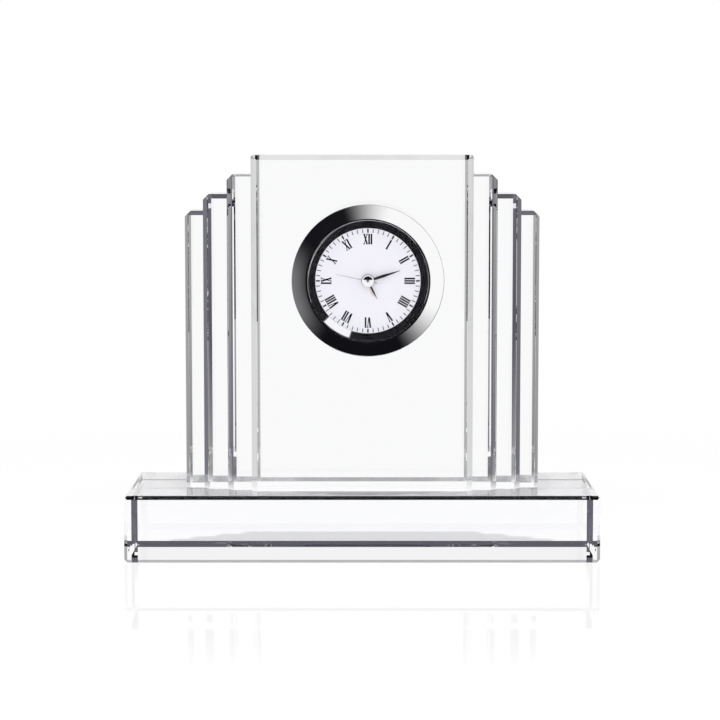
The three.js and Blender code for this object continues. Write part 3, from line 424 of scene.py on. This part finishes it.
# The hatch's slot is painted black as shade
hatch_plastic = surface_material(
    "hatch_plastic", (0.11, 0.11, 0.112), (0.15, 0.15, 0.152), (0.35, 0.5),
    grain=1600, grain_depth=0.02, painted_shade_below=HATCH_BACK - SLOT_DEPTH * MM
)
gear_plastic = surface_material(
    "gear_plastic", (0.72, 0.70, 0.63), (0.82, 0.80, 0.74), (0.4, 0.55),
    grain=1200, grain_depth=0.01
)
rubber = surface_material(
    "rubber", (0.018, 0.018, 0.019), (0.04, 0.04, 0.042), (0.7, 0.9),
    grain=1400, grain_depth=0.03
)
brass = surface_material(
    "brass", (0.62, 0.45, 0.18), (0.78, 0.60, 0.30), (0.22, 0.38),
    grain=1500, grain_depth=0.003, metal=1.0
)
steel = surface_material(
    "steel", (0.48, 0.48, 0.49), (0.62, 0.62, 0.63), (0.22, 0.36),
    grain=1500, grain_depth=0.003, metal=1.0
)
copper_wire = surface_material(
    "copper_wire", (0.42, 0.17, 0.07), (0.62, 0.30, 0.13), (0.3, 0.45),
    grain=2200, grain_depth=0.03, metal=0.8
)
board_green = surface_material(
    "board_green", (0.03, 0.15, 0.06), (0.06, 0.22, 0.10), (0.35, 0.5),
    grain=900, grain_depth=0.01
)
chip_black = surface_material(
    "chip_black", (0.012, 0.012, 0.012), (0.03, 0.03, 0.03), (0.4, 0.55),
    grain=1800, grain_depth=0.01
)

MATERIALS = {
    "crystal": crystal_glass,
    "lens": lens_glass,
    "chrome": chrome,
    "dial": dial_white,
    "black_hands": hand_black,
    "silver_hand": hand_silver,
    "copper_hand": hand_copper,
    "case_plastic": case_plastic,
    "rubber": rubber,
    "gear_plastic": gear_plastic,
    "brass": brass,
    "steel": steel,
    "copper_wire": copper_wire,
    "board": board_green,
    "chip_black": chip_black,
}
# The black plastic pieces that move are a shade lighter than the cover they sit in
LIGHTER = {
    "time_set_knob": knob_plastic,
    "alarm_set_knob": knob_plastic,
    "alarm_switch": knob_plastic,
    "battery_hatch": hatch_plastic,
}


def dress_nodes():
    for subpart in frame["record"]["subparts"]:
        name = subpart["node"]
        mesh = nodes[name].data
        mesh.materials.clear()
        mesh.materials.append(LIGHTER.get(name, MATERIALS[subpart["material_slot"]]))


def new_object(name, mesh, made):
    mesh.materials.clear()
    mesh.materials.append(made)
    piece = bpy.data.objects.new(name, mesh)
    bpy.context.scene.collection.objects.link(piece)
    return piece


def from_bmesh(name, bm, made):
    bmesh.ops.recalc_face_normals(bm, faces=bm.faces)
    mesh = bpy.data.meshes.new(name)
    bm.to_mesh(mesh)
    bm.free()
    return new_object(name, mesh, made)


def settle(piece, slot, body, *replaced):
    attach(piece, body)
    if replaced:
        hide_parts(*replaced)
    return piece


def dial_point(x, z, u):
    """A point on the clock: x right and z up from its axis, u out of the block's face, in millimetres."""
    return Vector((AXIS_X + x * MM, FACE_Y - u * MM, AXIS_Z + z * MM))


def lathe(name, profile, made, sharp=30, steps=LATHE_STEPS):
    """A closed profile of (r, u) points turned round the clock's axis."""
    bm = bmesh.new()
    rings = []
    for r, u in profile:
        if r < 1e-6:
            rings.append([bm.verts.new(dial_point(0, 0, u))])
            continue
        ring = []
        for i in range(steps):
            turn = 2 * math.pi * i / steps
            ring.append(bm.verts.new(dial_point(r * math.sin(turn), r * math.cos(turn), u)))
        rings.append(ring)
    for a, b in zip(rings, rings[1:] + rings[:1]):
        if len(a) == 1 and len(b) == 1:
            continue
        for i in range(steps):
            j = (i + 1) % steps
            if len(a) == 1:
                bm.faces.new((a[0], b[j], b[i]))
            elif len(b) == 1:
                bm.faces.new((a[i], a[j], b[0]))
            else:
                bm.faces.new((a[i], a[j], b[j], b[i]))
    for face in bm.faces:
        face.smooth = True
    bmesh.ops.recalc_face_normals(bm, faces=bm.faces)
    for edge in bm.edges:
        edge.smooth = edge.calc_face_angle(0.0) < math.radians(sharp)
    return from_bmesh(name, bm, made)


# Crystal: the eight blocks are bonded, so they are one piece of glass with a smooth round pocket
CRYSTAL_NODES = ["base_block", "centre_block"] + [
    f"{side}_{word}_column" for side in ("left", "right") for word in ("inner", "middle", "outer")
]


def pocket_tool(r, length):
    """A round rod on the clock's axis that goes from the centre block's face into the block."""
    bm = bmesh.new()
    along_y = Matrix.Rotation(math.radians(90), 4, "X")
    place = Matrix.Translation(dial_point(0, 0, -length / 2)) @ along_y
    bmesh.ops.create_cone(
        bm, cap_ends=True, segments=DRILL_STEPS, radius1=r * MM, radius2=r * MM, depth=length * MM,
        matrix=place
    )
    return from_bmesh("tool", bm, crystal_glass)


def bonded_crystal():
    """Joins copies of the crystal nodes, fills the pocket and drills it again with a fine round tool."""
    whole = new_object("crystal_body", nodes["centre_block"].data.copy(), crystal_glass)
    tools = []
    for name in CRYSTAL_NODES:
        if name != "centre_block":
            tools.append((new_object("tool", nodes[name].data.copy(), crystal_glass), "UNION"))
    plug = pocket_tool(DRILL_RADIUS + PLUG_EXTRA, DRILL_LENGTH + PLUG_LONGER)
    drill = pocket_tool(DRILL_RADIUS, DRILL_LENGTH)
    drill.location.y = -DRILL_OUT * MM
    tools += [(plug, "UNION"), (drill, "DIFFERENCE")]
    for tool, operation in tools:
        modifier = whole.modifiers.new("join", "BOOLEAN")
        modifier.operation = operation
        modifier.solver = "EXACT"
        modifier.object = tool
    bpy.context.view_layer.update()
    evaluated = whole.evaluated_get(bpy.context.evaluated_depsgraph_get())
    joined = bpy.data.meshes.new_from_object(evaluated)
    whole.modifiers.clear()
    whole.data = joined
    for tool, _ in tools:
        bpy.data.objects.remove(tool)
    return whole


# Clock face
def arc(centre, r, start, end, steps):
    """Points of an arc in a profile: angles in degrees, 0 along r and 90 along u."""
    points = []
    for i in range(steps + 1):
        turn = math.radians(start + (end - start) * i / steps)
        points.append((centre[0] + r * math.cos(turn), centre[1] + r * math.sin(turn)))
    return points


def bezel():
    """The skirt, the rim with its rounded corner, the slope, which bulges a little, and the lip."""
    bore = LENS_RADIUS + SEAT_GAP
    lip = bore + LIP_WIDTH
    lip_edge = 0.1
    skirt = CASE_RADIUS + SEAT_GAP
    rim_chamfer = 0.15
    rim_height = 0.45
    corner = 0.35
    slope_end = (lip, BEZEL_TOP - 0.06)
    slope_steps = 17
    bulge = 0.10
    profile = [
        (skirt, SKIRT_END),
        (skirt + SKIRT_WALL, SKIRT_END),
        (skirt + SKIRT_WALL, 0.0),
        (BEZEL_RADIUS - rim_chamfer, 0.0),
        (BEZEL_RADIUS, rim_chamfer),
        (BEZEL_RADIUS, rim_height),
    ]
    profile += arc((BEZEL_RADIUS - corner, rim_height), corner, 0, 52, 6)[1:]
    start_r, start_u = profile[-1]
    end_r, end_u = slope_end
    for i in range(1, slope_steps):
        t = i / slope_steps
        r = start_r + (end_r - start_r) * t
        u = start_u + (end_u - start_u) * t + bulge * 4 * t * (1 - t)
        profile.append((r, u))
    profile += [slope_end, (lip - 0.12, BEZEL_TOP), (bore + lip_edge, BEZEL_TOP)]
    profile += [(bore, BEZEL_TOP - lip_edge), (bore, 0.0), (skirt, 0.0)]
    return lathe("bezel_ring", profile, chrome, sharp=24)


def reflector():
    low, high = DIAL_TOP, LENS_BOTTOM
    wall = LENS_RADIUS - 0.25
    profile = [(VIEW_RADIUS, low), (LENS_RADIUS, low), (LENS_RADIUS, high), (wall, high)]
    profile += [(wall, low + REFLECTOR_RISE), (VIEW_RADIUS + 0.05, low + 0.25), (VIEW_RADIUS, low + 0.2)]
    return lathe("reflector_cone", profile, chrome, sharp=15)


def lens():
    front_edge = 0.3
    back_edge = 0.1
    profile = [(0, LENS_BOTTOM), (LENS_RADIUS - back_edge, LENS_BOTTOM)]
    profile += [(LENS_RADIUS, LENS_BOTTOM + back_edge), (LENS_RADIUS, LENS_TOP - front_edge)]
    profile += [(LENS_RADIUS - front_edge, LENS_TOP), (0, LENS_TOP)]
    return lathe("lens_glass", profile, lens_glass, sharp=20)


def dial():
    hole = 2.1
    edge = 0.05
    profile = [(hole, DIAL_BOTTOM), (DIAL_RADIUS, DIAL_BOTTOM), (DIAL_RADIUS, DIAL_TOP - edge)]
    profile += [(DIAL_RADIUS - edge, DIAL_TOP), (hole + edge, DIAL_TOP), (hole, DIAL_TOP - edge)]
    return lathe("dial_plate", profile, dial_white)


# Dial print: strokes of Roman numerals and minute marks, in millimetres
NUMERAL_FOOT = 11.75
NUMERAL_HEIGHT = 3.35
THICK_STROKE = 0.52
THIN_STROKE = 0.25
SERIF = 0.2
LETTER_WIDTHS = {"I": 0.74, "V": 1.5, "X": 1.5}
MARK_INNER = 15.45
MARK_OUTER = 16.7
HOUR_MARK = 0.48
MINUTE_MARK = 0.24
PRINT_HEIGHT = 0.02
NUMERALS = ["XII", "I", "II", "III", "IIII", "V", "VI", "VII", "VIII", "IX", "X", "XI"]


def rectangle(x0, x1, z0, z1):
    return [(x0, z0), (x1, z0), (x1, z1), (x0, z1)]


def slanted(x_low, x_high, width, z0, z1):
    """A slanted stroke: its middle goes from x_low at z0 to x_high at z1."""
    half = width / 2
    return [(x_low - half, z0), (x_low + half, z0), (x_high + half, z1), (x_high - half, z1)]


def letter(kind, x, height):
    """The strokes of one letter whose left side is at x and whose foot is at 0."""
    width = LETTER_WIDTHS[kind]
    end = x + width
    middle = x + width / 2
    low, high = SERIF, height - SERIF
    if kind == "I":
        gap = 0.06
        top = rectangle(x + gap, end - gap, high, height)
        foot = rectangle(x + gap, end - gap, 0, low)
        stem = rectangle(middle - THICK_STROKE / 2, middle + THICK_STROKE / 2, low, high)
        return [top, foot, stem]
    inset = 0.3
    if kind == "V":
        left_serif, right_serif = 0.68, 0.58
        tops = [rectangle(x, x + left_serif, high, height), rectangle(end - right_serif, end, high, height)]
        thick = slanted(middle - 0.04, x + inset + 0.05, THICK_STROKE, 0, high)
        thin = slanted(middle + 0.1, end - inset, THIN_STROKE, 0.1, high)
        return tops + [thick, thin]
    serif_length = 0.64
    serifs = []
    for z0, z1 in ((0, low), (high, height)):
        serifs.append(rectangle(x, x + serif_length, z0, z1))
        serifs.append(rectangle(end - serif_length, end, z0, z1))
    thick = slanted(end - inset, x + inset, THICK_STROKE, low, high)
    thin = slanted(x + inset, end - inset, THIN_STROKE, low, high)
    return serifs + [thick, thin]


def turned(outline, clockwise):
    turn = math.radians(clockwise)
    cos, sin = math.cos(turn), math.sin(turn)
    return [(x * cos + z * sin, z * cos - x * sin) for x, z in outline]


def dial_print():
    outlines = []
    for hour, word in enumerate(NUMERALS):
        x = -sum(LETTER_WIDTHS[kind] for kind in word) / 2
        for kind in word:
            for stroke in letter(kind, x, NUMERAL_HEIGHT):
                raised = [(px, pz + NUMERAL_FOOT) for px, pz in stroke]
                outlines.append(turned(raised, 30 * hour))
            x += LETTER_WIDTHS[kind]
    for minute in range(60):
        half = (HOUR_MARK if minute % 5 == 0 else MINUTE_MARK) / 2
        mark = rectangle(-half, half, MARK_INNER, MARK_OUTER)
        outlines.append(turned(mark, 6 * minute))
    bm = bmesh.new()
    for outline in outlines:
        corners = [bm.verts.new(dial_point(x, z, DIAL_TOP + PRINT_HEIGHT)) for x, z in outline]
        bm.faces.new(corners[::-1])
    geometry = bmesh.ops.extrude_face_region(bm, geom=bm.faces[:])
    for vert in geometry["geom"]:
        if isinstance(vert, bmesh.types.BMVert):
            vert.co.y += (PRINT_HEIGHT + 0.01) * MM
    return from_bmesh("dial_print", bm, print_black)


# Hands: where they point at rest, in degrees clockwise from 12 o'clock, and how high the ridge's foot is
MINUTE_AT = 72
HOUR_AT = 153
SECOND_AT = 282
ALARM_AT = 161
RIDGE_FOOT = 0.55


def hand(name, node, clockwise, stations, hub, bore, made, boss_made=None):
    """A blade through stations of (distance along, half width) from tail to tip, with a ridge down its
    middle, and a round boss whose radii are hub and bore."""
    low_corner, high_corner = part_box(node)
    low, high = level(high_corner.y), level(low_corner.y)
    side = low + (high - low) * RIDGE_FOOT
    bm = bmesh.new()
    rows = []
    for along, half in stations:
        across = [(-half, low), (-half, side), (0.0, high), (half, side), (half, low)]
        row = []
        for x, u in across:
            px, pz = turned([(x, along)], clockwise)[0]
            row.append(bm.verts.new(dial_point(px, pz, u)))
        rows.append(row)
    corners = len(rows[0])
    for a, b in zip(rows, rows[1:]):
        for i in range(corners):
            j = (i + 1) % corners
            bm.faces.new((a[i], a[j], b[j], b[i]))
    bm.faces.new(rows[0])
    bm.faces.new(rows[-1][::-1])
    blade = from_bmesh(name, bm, made)
    profile = [(bore, low), (hub, low), (hub, high - 0.02), (hub - 0.04, high), (bore, high)]
    boss = lathe(name + "_boss", profile, made, steps=64)
    joined = bmesh.new()
    joined.from_mesh(blade.data)
    blade_faces = len(joined.faces)
    joined.from_mesh(boss.data)
    if boss_made:
        blade.data.materials.append(boss_made)
        joined.faces.ensure_lookup_table()
        for face in joined.faces[blade_faces:]:
            face.material_index = 1
    joined.to_mesh(blade.data)
    joined.free()
    bpy.data.objects.remove(boss)
    return blade


def hands():
    minute = [(0.9, 0.30), (3.0, 0.42), (5.0, 0.47), (8.0, 0.27), (10.9, 0.06)]
    hour = [(0.9, 0.2), (2.4, 0.23), (3.8, 0.27), (5.2, 0.14), (6.4, 0.05)]
    second = [(-3.0, 0.16), (-0.9, 0.13), (0.9, 0.13), (10.4, 0.07)]
    alarm = [(1.9, 0.14), (2.5, 0.32), (3.4, 0.42), (4.4, 0.34), (5.2, 0.1)]
    settle(
        hand("minute_hand_blade", "minute_hand", MINUTE_AT, minute, hub=1.36, bore=0.84, made=hand_black),
        "black_hands", "minute_hand_body", "minute_hand"
    )
    settle(
        hand("hour_hand_blade", "hour_hand", HOUR_AT, hour, hub=1.5, bore=1.32, made=hand_black),
        "black_hands", "hour_hand_body", "hour_hand"
    )
    settle(
        hand("second_hand_blade", "second_hand", SECOND_AT, second, hub=0.9, bore=0.37, made=hand_silver),
        "silver_hand", "second_hand_body", "second_hand"
    )
    settle(
        hand("alarm_hand_blade", "alarm_hand", ALARM_AT, alarm, hub=1.92, bore=1.8, made=hand_copper,
             boss_made=dial_white),
        "copper_hand", "alarm_hand_body", "alarm_hand"
    )


# The second hand's white plate, the polished cap on it and the pin in its middle, as (r, height) profiles
def on_second_hand(profile):
    front = level(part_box("second_hand")[0].y)
    return [(r, front + height) for r, height in profile]


def hub_plate():
    profile = [(HUB_BORE, 0), (HUB_RADIUS - 0.03, 0), (HUB_RADIUS, 0.03), (HUB_RADIUS, HUB_PLATE - 0.02)]
    profile += [(HUB_RADIUS - 0.02, HUB_PLATE), (HUB_BORE, HUB_PLATE)]
    return lathe("second_hand_plate", on_second_hand(profile), dial_white, steps=64)


def hub_cap():
    profile = [(HUB_BORE, 0), (1.55, 0), (1.58, 0.04), (1.35, 0.085), (1.1, 0.13), (0.85, 0.165)]
    profile += [(0.6, 0.19), (HUB_BORE, 0.2)]
    raised = [(r, height + HUB_PLATE) for r, height in profile]
    return lathe("second_hand_cap", on_second_hand(raised), chrome, sharp=20, steps=96)


def hub_pin():
    profile = [(0, 0), (PIN_RADIUS, 0), (PIN_RADIUS, 0.3), (0.28, 0.38), (0.12, 0.42), (0, 0.43)]
    return lathe("seconds_pin", on_second_hand(profile), steel, steps=48)


# Insert's body
def grip():
    ribs = 6
    inner = CASE_RADIUS + SEAT_GAP
    pitch = (GRIP_TOP - GRIP_END) / ribs
    rib = 0.22
    profile = [(inner, GRIP_END), (GRIP_RADIUS - rib, GRIP_END)]
    for i in range(ribs):
        low = GRIP_END + i * pitch
        for share, out in ((0.2, 0.0), (0.38, 0.8), (0.5, 1.0), (0.62, 0.8), (0.8, 0.0)):
            profile.append((GRIP_RADIUS - rib * (1 - out), low + share * pitch))
    profile += [(GRIP_RADIUS - rib, GRIP_TOP), (inner, GRIP_TOP)]
    return lathe("grip_band", profile, rubber, sharp=50)


def case_shell():
    wall = 1.3
    front = 0.9
    edge = 0.3
    inner = CASE_RADIUS - wall
    hole = 2.0
    top = DIAL_BOTTOM
    profile = [(hole, top - front), (inner, top - front), (inner, CASE_END), (CASE_RADIUS - edge, CASE_END)]
    profile += [(CASE_RADIUS, CASE_END + edge), (CASE_RADIUS, top), (hole, top)]
    return lathe("case_shell", profile, case_plastic)


# Camera, light, world and floor
def make_camera():
    data = bpy.data.cameras.new("camera")
    data.sensor_width = 36
    data.lens = FOCAL_PIXELS * data.sensor_width / PICTURE_PIXELS
    data.shift_x = CAMERA_SHIFT
    data.clip_start = 0.01
    camera = bpy.data.objects.new("camera", data)
    bpy.context.scene.collection.objects.link(camera)
    camera.location = CAMERA_PLACE
    camera.rotation_euler = (math.radians(90 + CAMERA_PITCH), 0, 0)
    bpy.context.scene.camera = camera


def make_key(floor):
    """A small lamp that gives the floor the object's shadow and lights nothing else."""
    data = bpy.data.lights.new("key", "AREA")
    data.size = KEY_SIZE
    data.energy = KEY_POWER
    lamp = bpy.data.objects.new("key", data)
    bpy.context.scene.collection.objects.link(lamp)
    lamp.location = KEY_PLACE
    aim = Vector(KEY_AIM) - lamp.location
    lamp.rotation_euler = aim.to_track_quat("-Z", "Y").to_euler()
    lamp.visible_glossy = False
    lamp.visible_transmission = False
    lit = bpy.data.collections.new("lit_by_key")
    lit.objects.link(floor)
    lamp.light_linking.receiver_collection = lit


def directions(s, vector):
    """A direction's elevation, its angle from the front to back line, its angle clockwise from 12 o'clock
    as the clock is seen, and its angle from ahead, which is the side the dial looks to, in degrees."""
    x, y, z = s.parts(vector)
    elevation = s.math("ARCSINE", z)
    aside = s.math("ARCTAN2", s.math("ABSOLUTE", x), s.math("ABSOLUTE", y))
    clock = s.math("ARCTAN2", x, z)
    from_front = s.math("ARCCOSINE", s.math("MULTIPLY", y, -1.0))
    degrees = 180 / math.pi
    return [s.math("MULTIPLY", angle, degrees) for angle in (elevation, aside, clock, from_front)]


def crystal_surroundings(s, elevation, aside, light):
    """What rays see that have passed through the crystal: windows with grey flags between them, and white
    at the sides and below for the rays that nothing mirrored on the way."""
    bend = s.math("MULTIPLY", s.math("MULTIPLY", elevation, elevation), FLAG_BEND)
    flags = s.tones(s.math("SUBTRACT", aside, bend), 0, 90, FLAG_TONES)
    sky = s.tones(elevation, -90, 90, WINDOW_TONES)
    window = s.any_of(s.step(elevation, *OVERHEAD_EDGES), s.opposite(s.step(aside, *WINDOW_EDGES)))
    tone = s.mix(window, flags, sky)
    tone = s.tint(tone, s.mix(s.step(s.luma(tone), *SHADE_EDGES), SHADE, WHITE))
    side = s.step(aside, *SIDE_WINDOW_EDGES)
    low = s.opposite(s.step(elevation, *LOW_WINDOW_EDGES))
    straight = s.opposite(s.reached(light.outputs["Glossy Depth"], 1))
    return s.mix(s.all_of(s.any_of(side, low), s.opposite(window), straight), tone, WHITE)


def front_surroundings(s, elevation, clock, from_front, light):
    """What the clock's metal sees: the bezel mirrors a large soft box on the right and a dim one on the
    left, the reflector ring mirrors a strip of light, and the hub mirrors a low white screen."""
    box = s.all_of(s.between(clock, *BOX_ROUND), s.between(from_front, *BOX_OUT))
    strip = s.all_of(s.between(clock, *STRIP_ROUND), s.between(from_front, *STRIP_OUT))
    dim = s.all_of(s.between(clock, *DIM_ROUND), s.step(from_front, *DIM_OUT))
    low = s.all_of(s.less(elevation, SCREEN_TOP), s.between(from_front, *SCREEN_OUT))
    screen = s.all_of(low, s.behind_lens(light))
    bright = s.mix(s.any_of(screen, box, strip), DARK, WHITE)
    return s.mix(dim, bright, DIM)


def make_world():
    """Camera rays see white, rays that glass or metal sent see the studio, and others its soft light."""
    world = bpy.data.worlds.new("studio")
    bpy.context.scene.world = world
    world.use_nodes = True
    s = Shader(world.node_tree)
    light = s.add("ShaderNodeLightPath")
    vector = s.add("ShaderNodeTexCoord").outputs["Generated"]
    elevation, aside, clock, from_front = directions(s, vector)
    crystal = crystal_surroundings(s, elevation, aside, light)
    front = front_surroundings(s, elevation, clock, from_front, light)
    in_clock = s.all_of(s.behind_lens(light), s.less(from_front, CLOCK_AHEAD))
    ahead = s.all_of(s.more(from_front, CRYSTAL_AHEAD[0]), s.less(from_front, CRYSTAL_AHEAD[1]))
    turned_back = s.reached(light.outputs["Glossy Depth"], 1)
    crystal = s.mix(s.any_of(in_clock, s.all_of(turned_back, ahead)), crystal, front)
    mirrored = s.mix(s.less(from_front, FRONT_HALF), s.tones(elevation, -90, 90, MIRROR_TONES), front)
    colour = s.mix(s.reached(light.outputs["Transmission Depth"], 1), mirrored, crystal)
    soft_tone = s.mix(s.step(from_front, *LIGHT_SEAM), grey(FRONT_LIGHT), grey(BACK_LIGHT))
    soft = s.add("ShaderNodeBackground", {"Color": soft_tone}).outputs[0]
    seen = s.add("ShaderNodeBackground", {"Color": colour}).outputs[0]
    white = s.add("ShaderNodeBackground", {"Color": WHITE}).outputs[0]
    sharp = s.all_of(s.sharp_rays(light), s.opposite(s.reached(light.outputs["Diffuse Depth"], 1)))
    shown = s.blend(light.outputs["Is Camera Ray"], s.blend(sharp, soft, seen), white)
    output = s.add("ShaderNodeOutputWorld")
    s.give(output.inputs["Surface"], shown)


def floor_material():
    """Pale, faintly glossy close to the object, and fading into the white background away from it. It is
    painted dark, as a painted reflection, for rays that were only mirrored and for rays that glass turned
    back four times, and it has a painted contact shadow in a strip at the base's back edge for rays from
    the glass."""
    made, s = material("studio_floor")
    place = s.add("ShaderNodeNewGeometry").outputs["Position"]
    x, y = s.parts(place)[:2]
    distance = s.add("ShaderNodeVectorMath", {0: place}, operation="LENGTH").outputs["Value"]
    light = s.add("ShaderNodeLightPath")
    camera = light.outputs["Is Camera Ray"]
    sharp = s.sharp_rays(light)

    paint = s.add("ShaderNodeBsdfDiffuse", {"Color": s.mix(s.noise(40), *FLOOR_PAINTS)}).outputs[0]
    gloss = s.add("ShaderNodeBsdfGlossy", {"Color": WHITE, "Roughness": 0.03}).outputs[0]
    glow = s.add("ShaderNodeEmission", {"Color": WHITE}).outputs[0]
    # A dark glow for the painted reflections and the painted contact shadow
    dark = s.add("ShaderNodeEmission", {"Color": DARK}).outputs[0]
    clear = s.add("ShaderNodeBsdfTransparent").outputs[0]

    close = s.opposite(s.step(distance, *GLOSS_FADE))
    body = s.blend(s.all_of(camera, GLOW_SHARE), paint, glow)
    body = s.blend(s.all_of(camera, close, GLOSS_SHARE), body, gloss)

    # Painted reflection: rays that were only mirrored, and rays that glass turned back four times, see it
    # dark
    mirrored = s.all_of(sharp, s.opposite(s.reached(light.outputs["Transmission Depth"], 1)))
    deep = s.all_of(sharp, s.reached(light.outputs["Glossy Depth"], 4))
    body = s.blend(s.any_of(mirrored, deep), body, dark)

    # Painted contact shadow: the floor is dark in a strip at the base's back edge, for rays from the glass
    base_low, base_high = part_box("base_block")
    along = s.between(x, base_low.x, base_high.x, FOOT_SHADOW_EDGE * MM)
    shadow_strip_low = base_high.y - FOOT_SHADOW_UNDER * MM
    shadow_strip_high = base_high.y + FOOT_SHADOW_BEHIND * MM
    strip = s.all_of(along, s.between(y, shadow_strip_low, shadow_strip_high, FOOT_SHADOW_EDGE * MM))
    shortest, longest = FOOT_SHADOW_RAY
    near = s.between(light.outputs["Ray Length"], shortest * MM, longest * MM, FOOT_SHADOW_RAY_EDGE * MM)
    body = s.blend(s.all_of(sharp, strip, near), body, dark)

    in_front = s.less(y, FRONT_STRIP_Y)
    body = s.blend(s.all_of(s.any_of(s.behind_lens(light), mirrored), in_front), body, clear)
    fades = {0: sharp, 2: s.step(distance, *FLOOR_FADE), 3: s.step(distance, *FLOOR_FADE_SHARP)}
    fade = s.add("ShaderNodeMix", fades, data_type="FLOAT").outputs[0]
    return finish_material(made, s, s.blend(fade, body, clear))


def make_floor():
    bm = bmesh.new()
    bmesh.ops.create_grid(bm, x_segments=8, y_segments=8, size=FLOOR_HALF)
    for vert in bm.verts:
        vert.co.z = -FLOOR_DROP * MM
    mesh = bpy.data.meshes.new("studio_floor")
    bm.to_mesh(mesh)
    bm.free()
    floor = new_object("studio_floor", mesh, floor_material())
    return floor


def light_paths():
    """Enough bounces for light to find its way out of the crystal."""
    cycles = bpy.context.scene.cycles
    cycles.max_bounces = GLASS_BOUNCES
    cycles.transmission_bounces = GLASS_BOUNCES
    cycles.glossy_bounces = OTHER_BOUNCES
    cycles.transparent_max_bounces = OTHER_BOUNCES


dress_nodes()
settle(bonded_crystal(), "crystal", "crystal", *CRYSTAL_NODES)
settle(bezel(), "chrome", "clock_insert", "bezel")
settle(reflector(), "chrome", "clock_insert", "reflector_ring")
settle(lens(), "lens", "clock_insert", "lens")
settle(dial(), "dial", "clock_insert", "dial")
settle(dial_print(), "black_hands", "clock_insert")
settle(grip(), "rubber", "clock_insert", "grip_ring")
settle(case_shell(), "case_plastic", "clock_insert", "movement_case")
hands()
settle(hub_plate(), "silver_hand", "second_hand_body")
settle(hub_cap(), "chrome", "second_hand_body")
settle(hub_pin(), "steel", "second_hand_body")

make_camera()
make_world()
make_key(make_floor())
light_paths()
bpy.context.scene.view_settings.view_transform = "Standard"
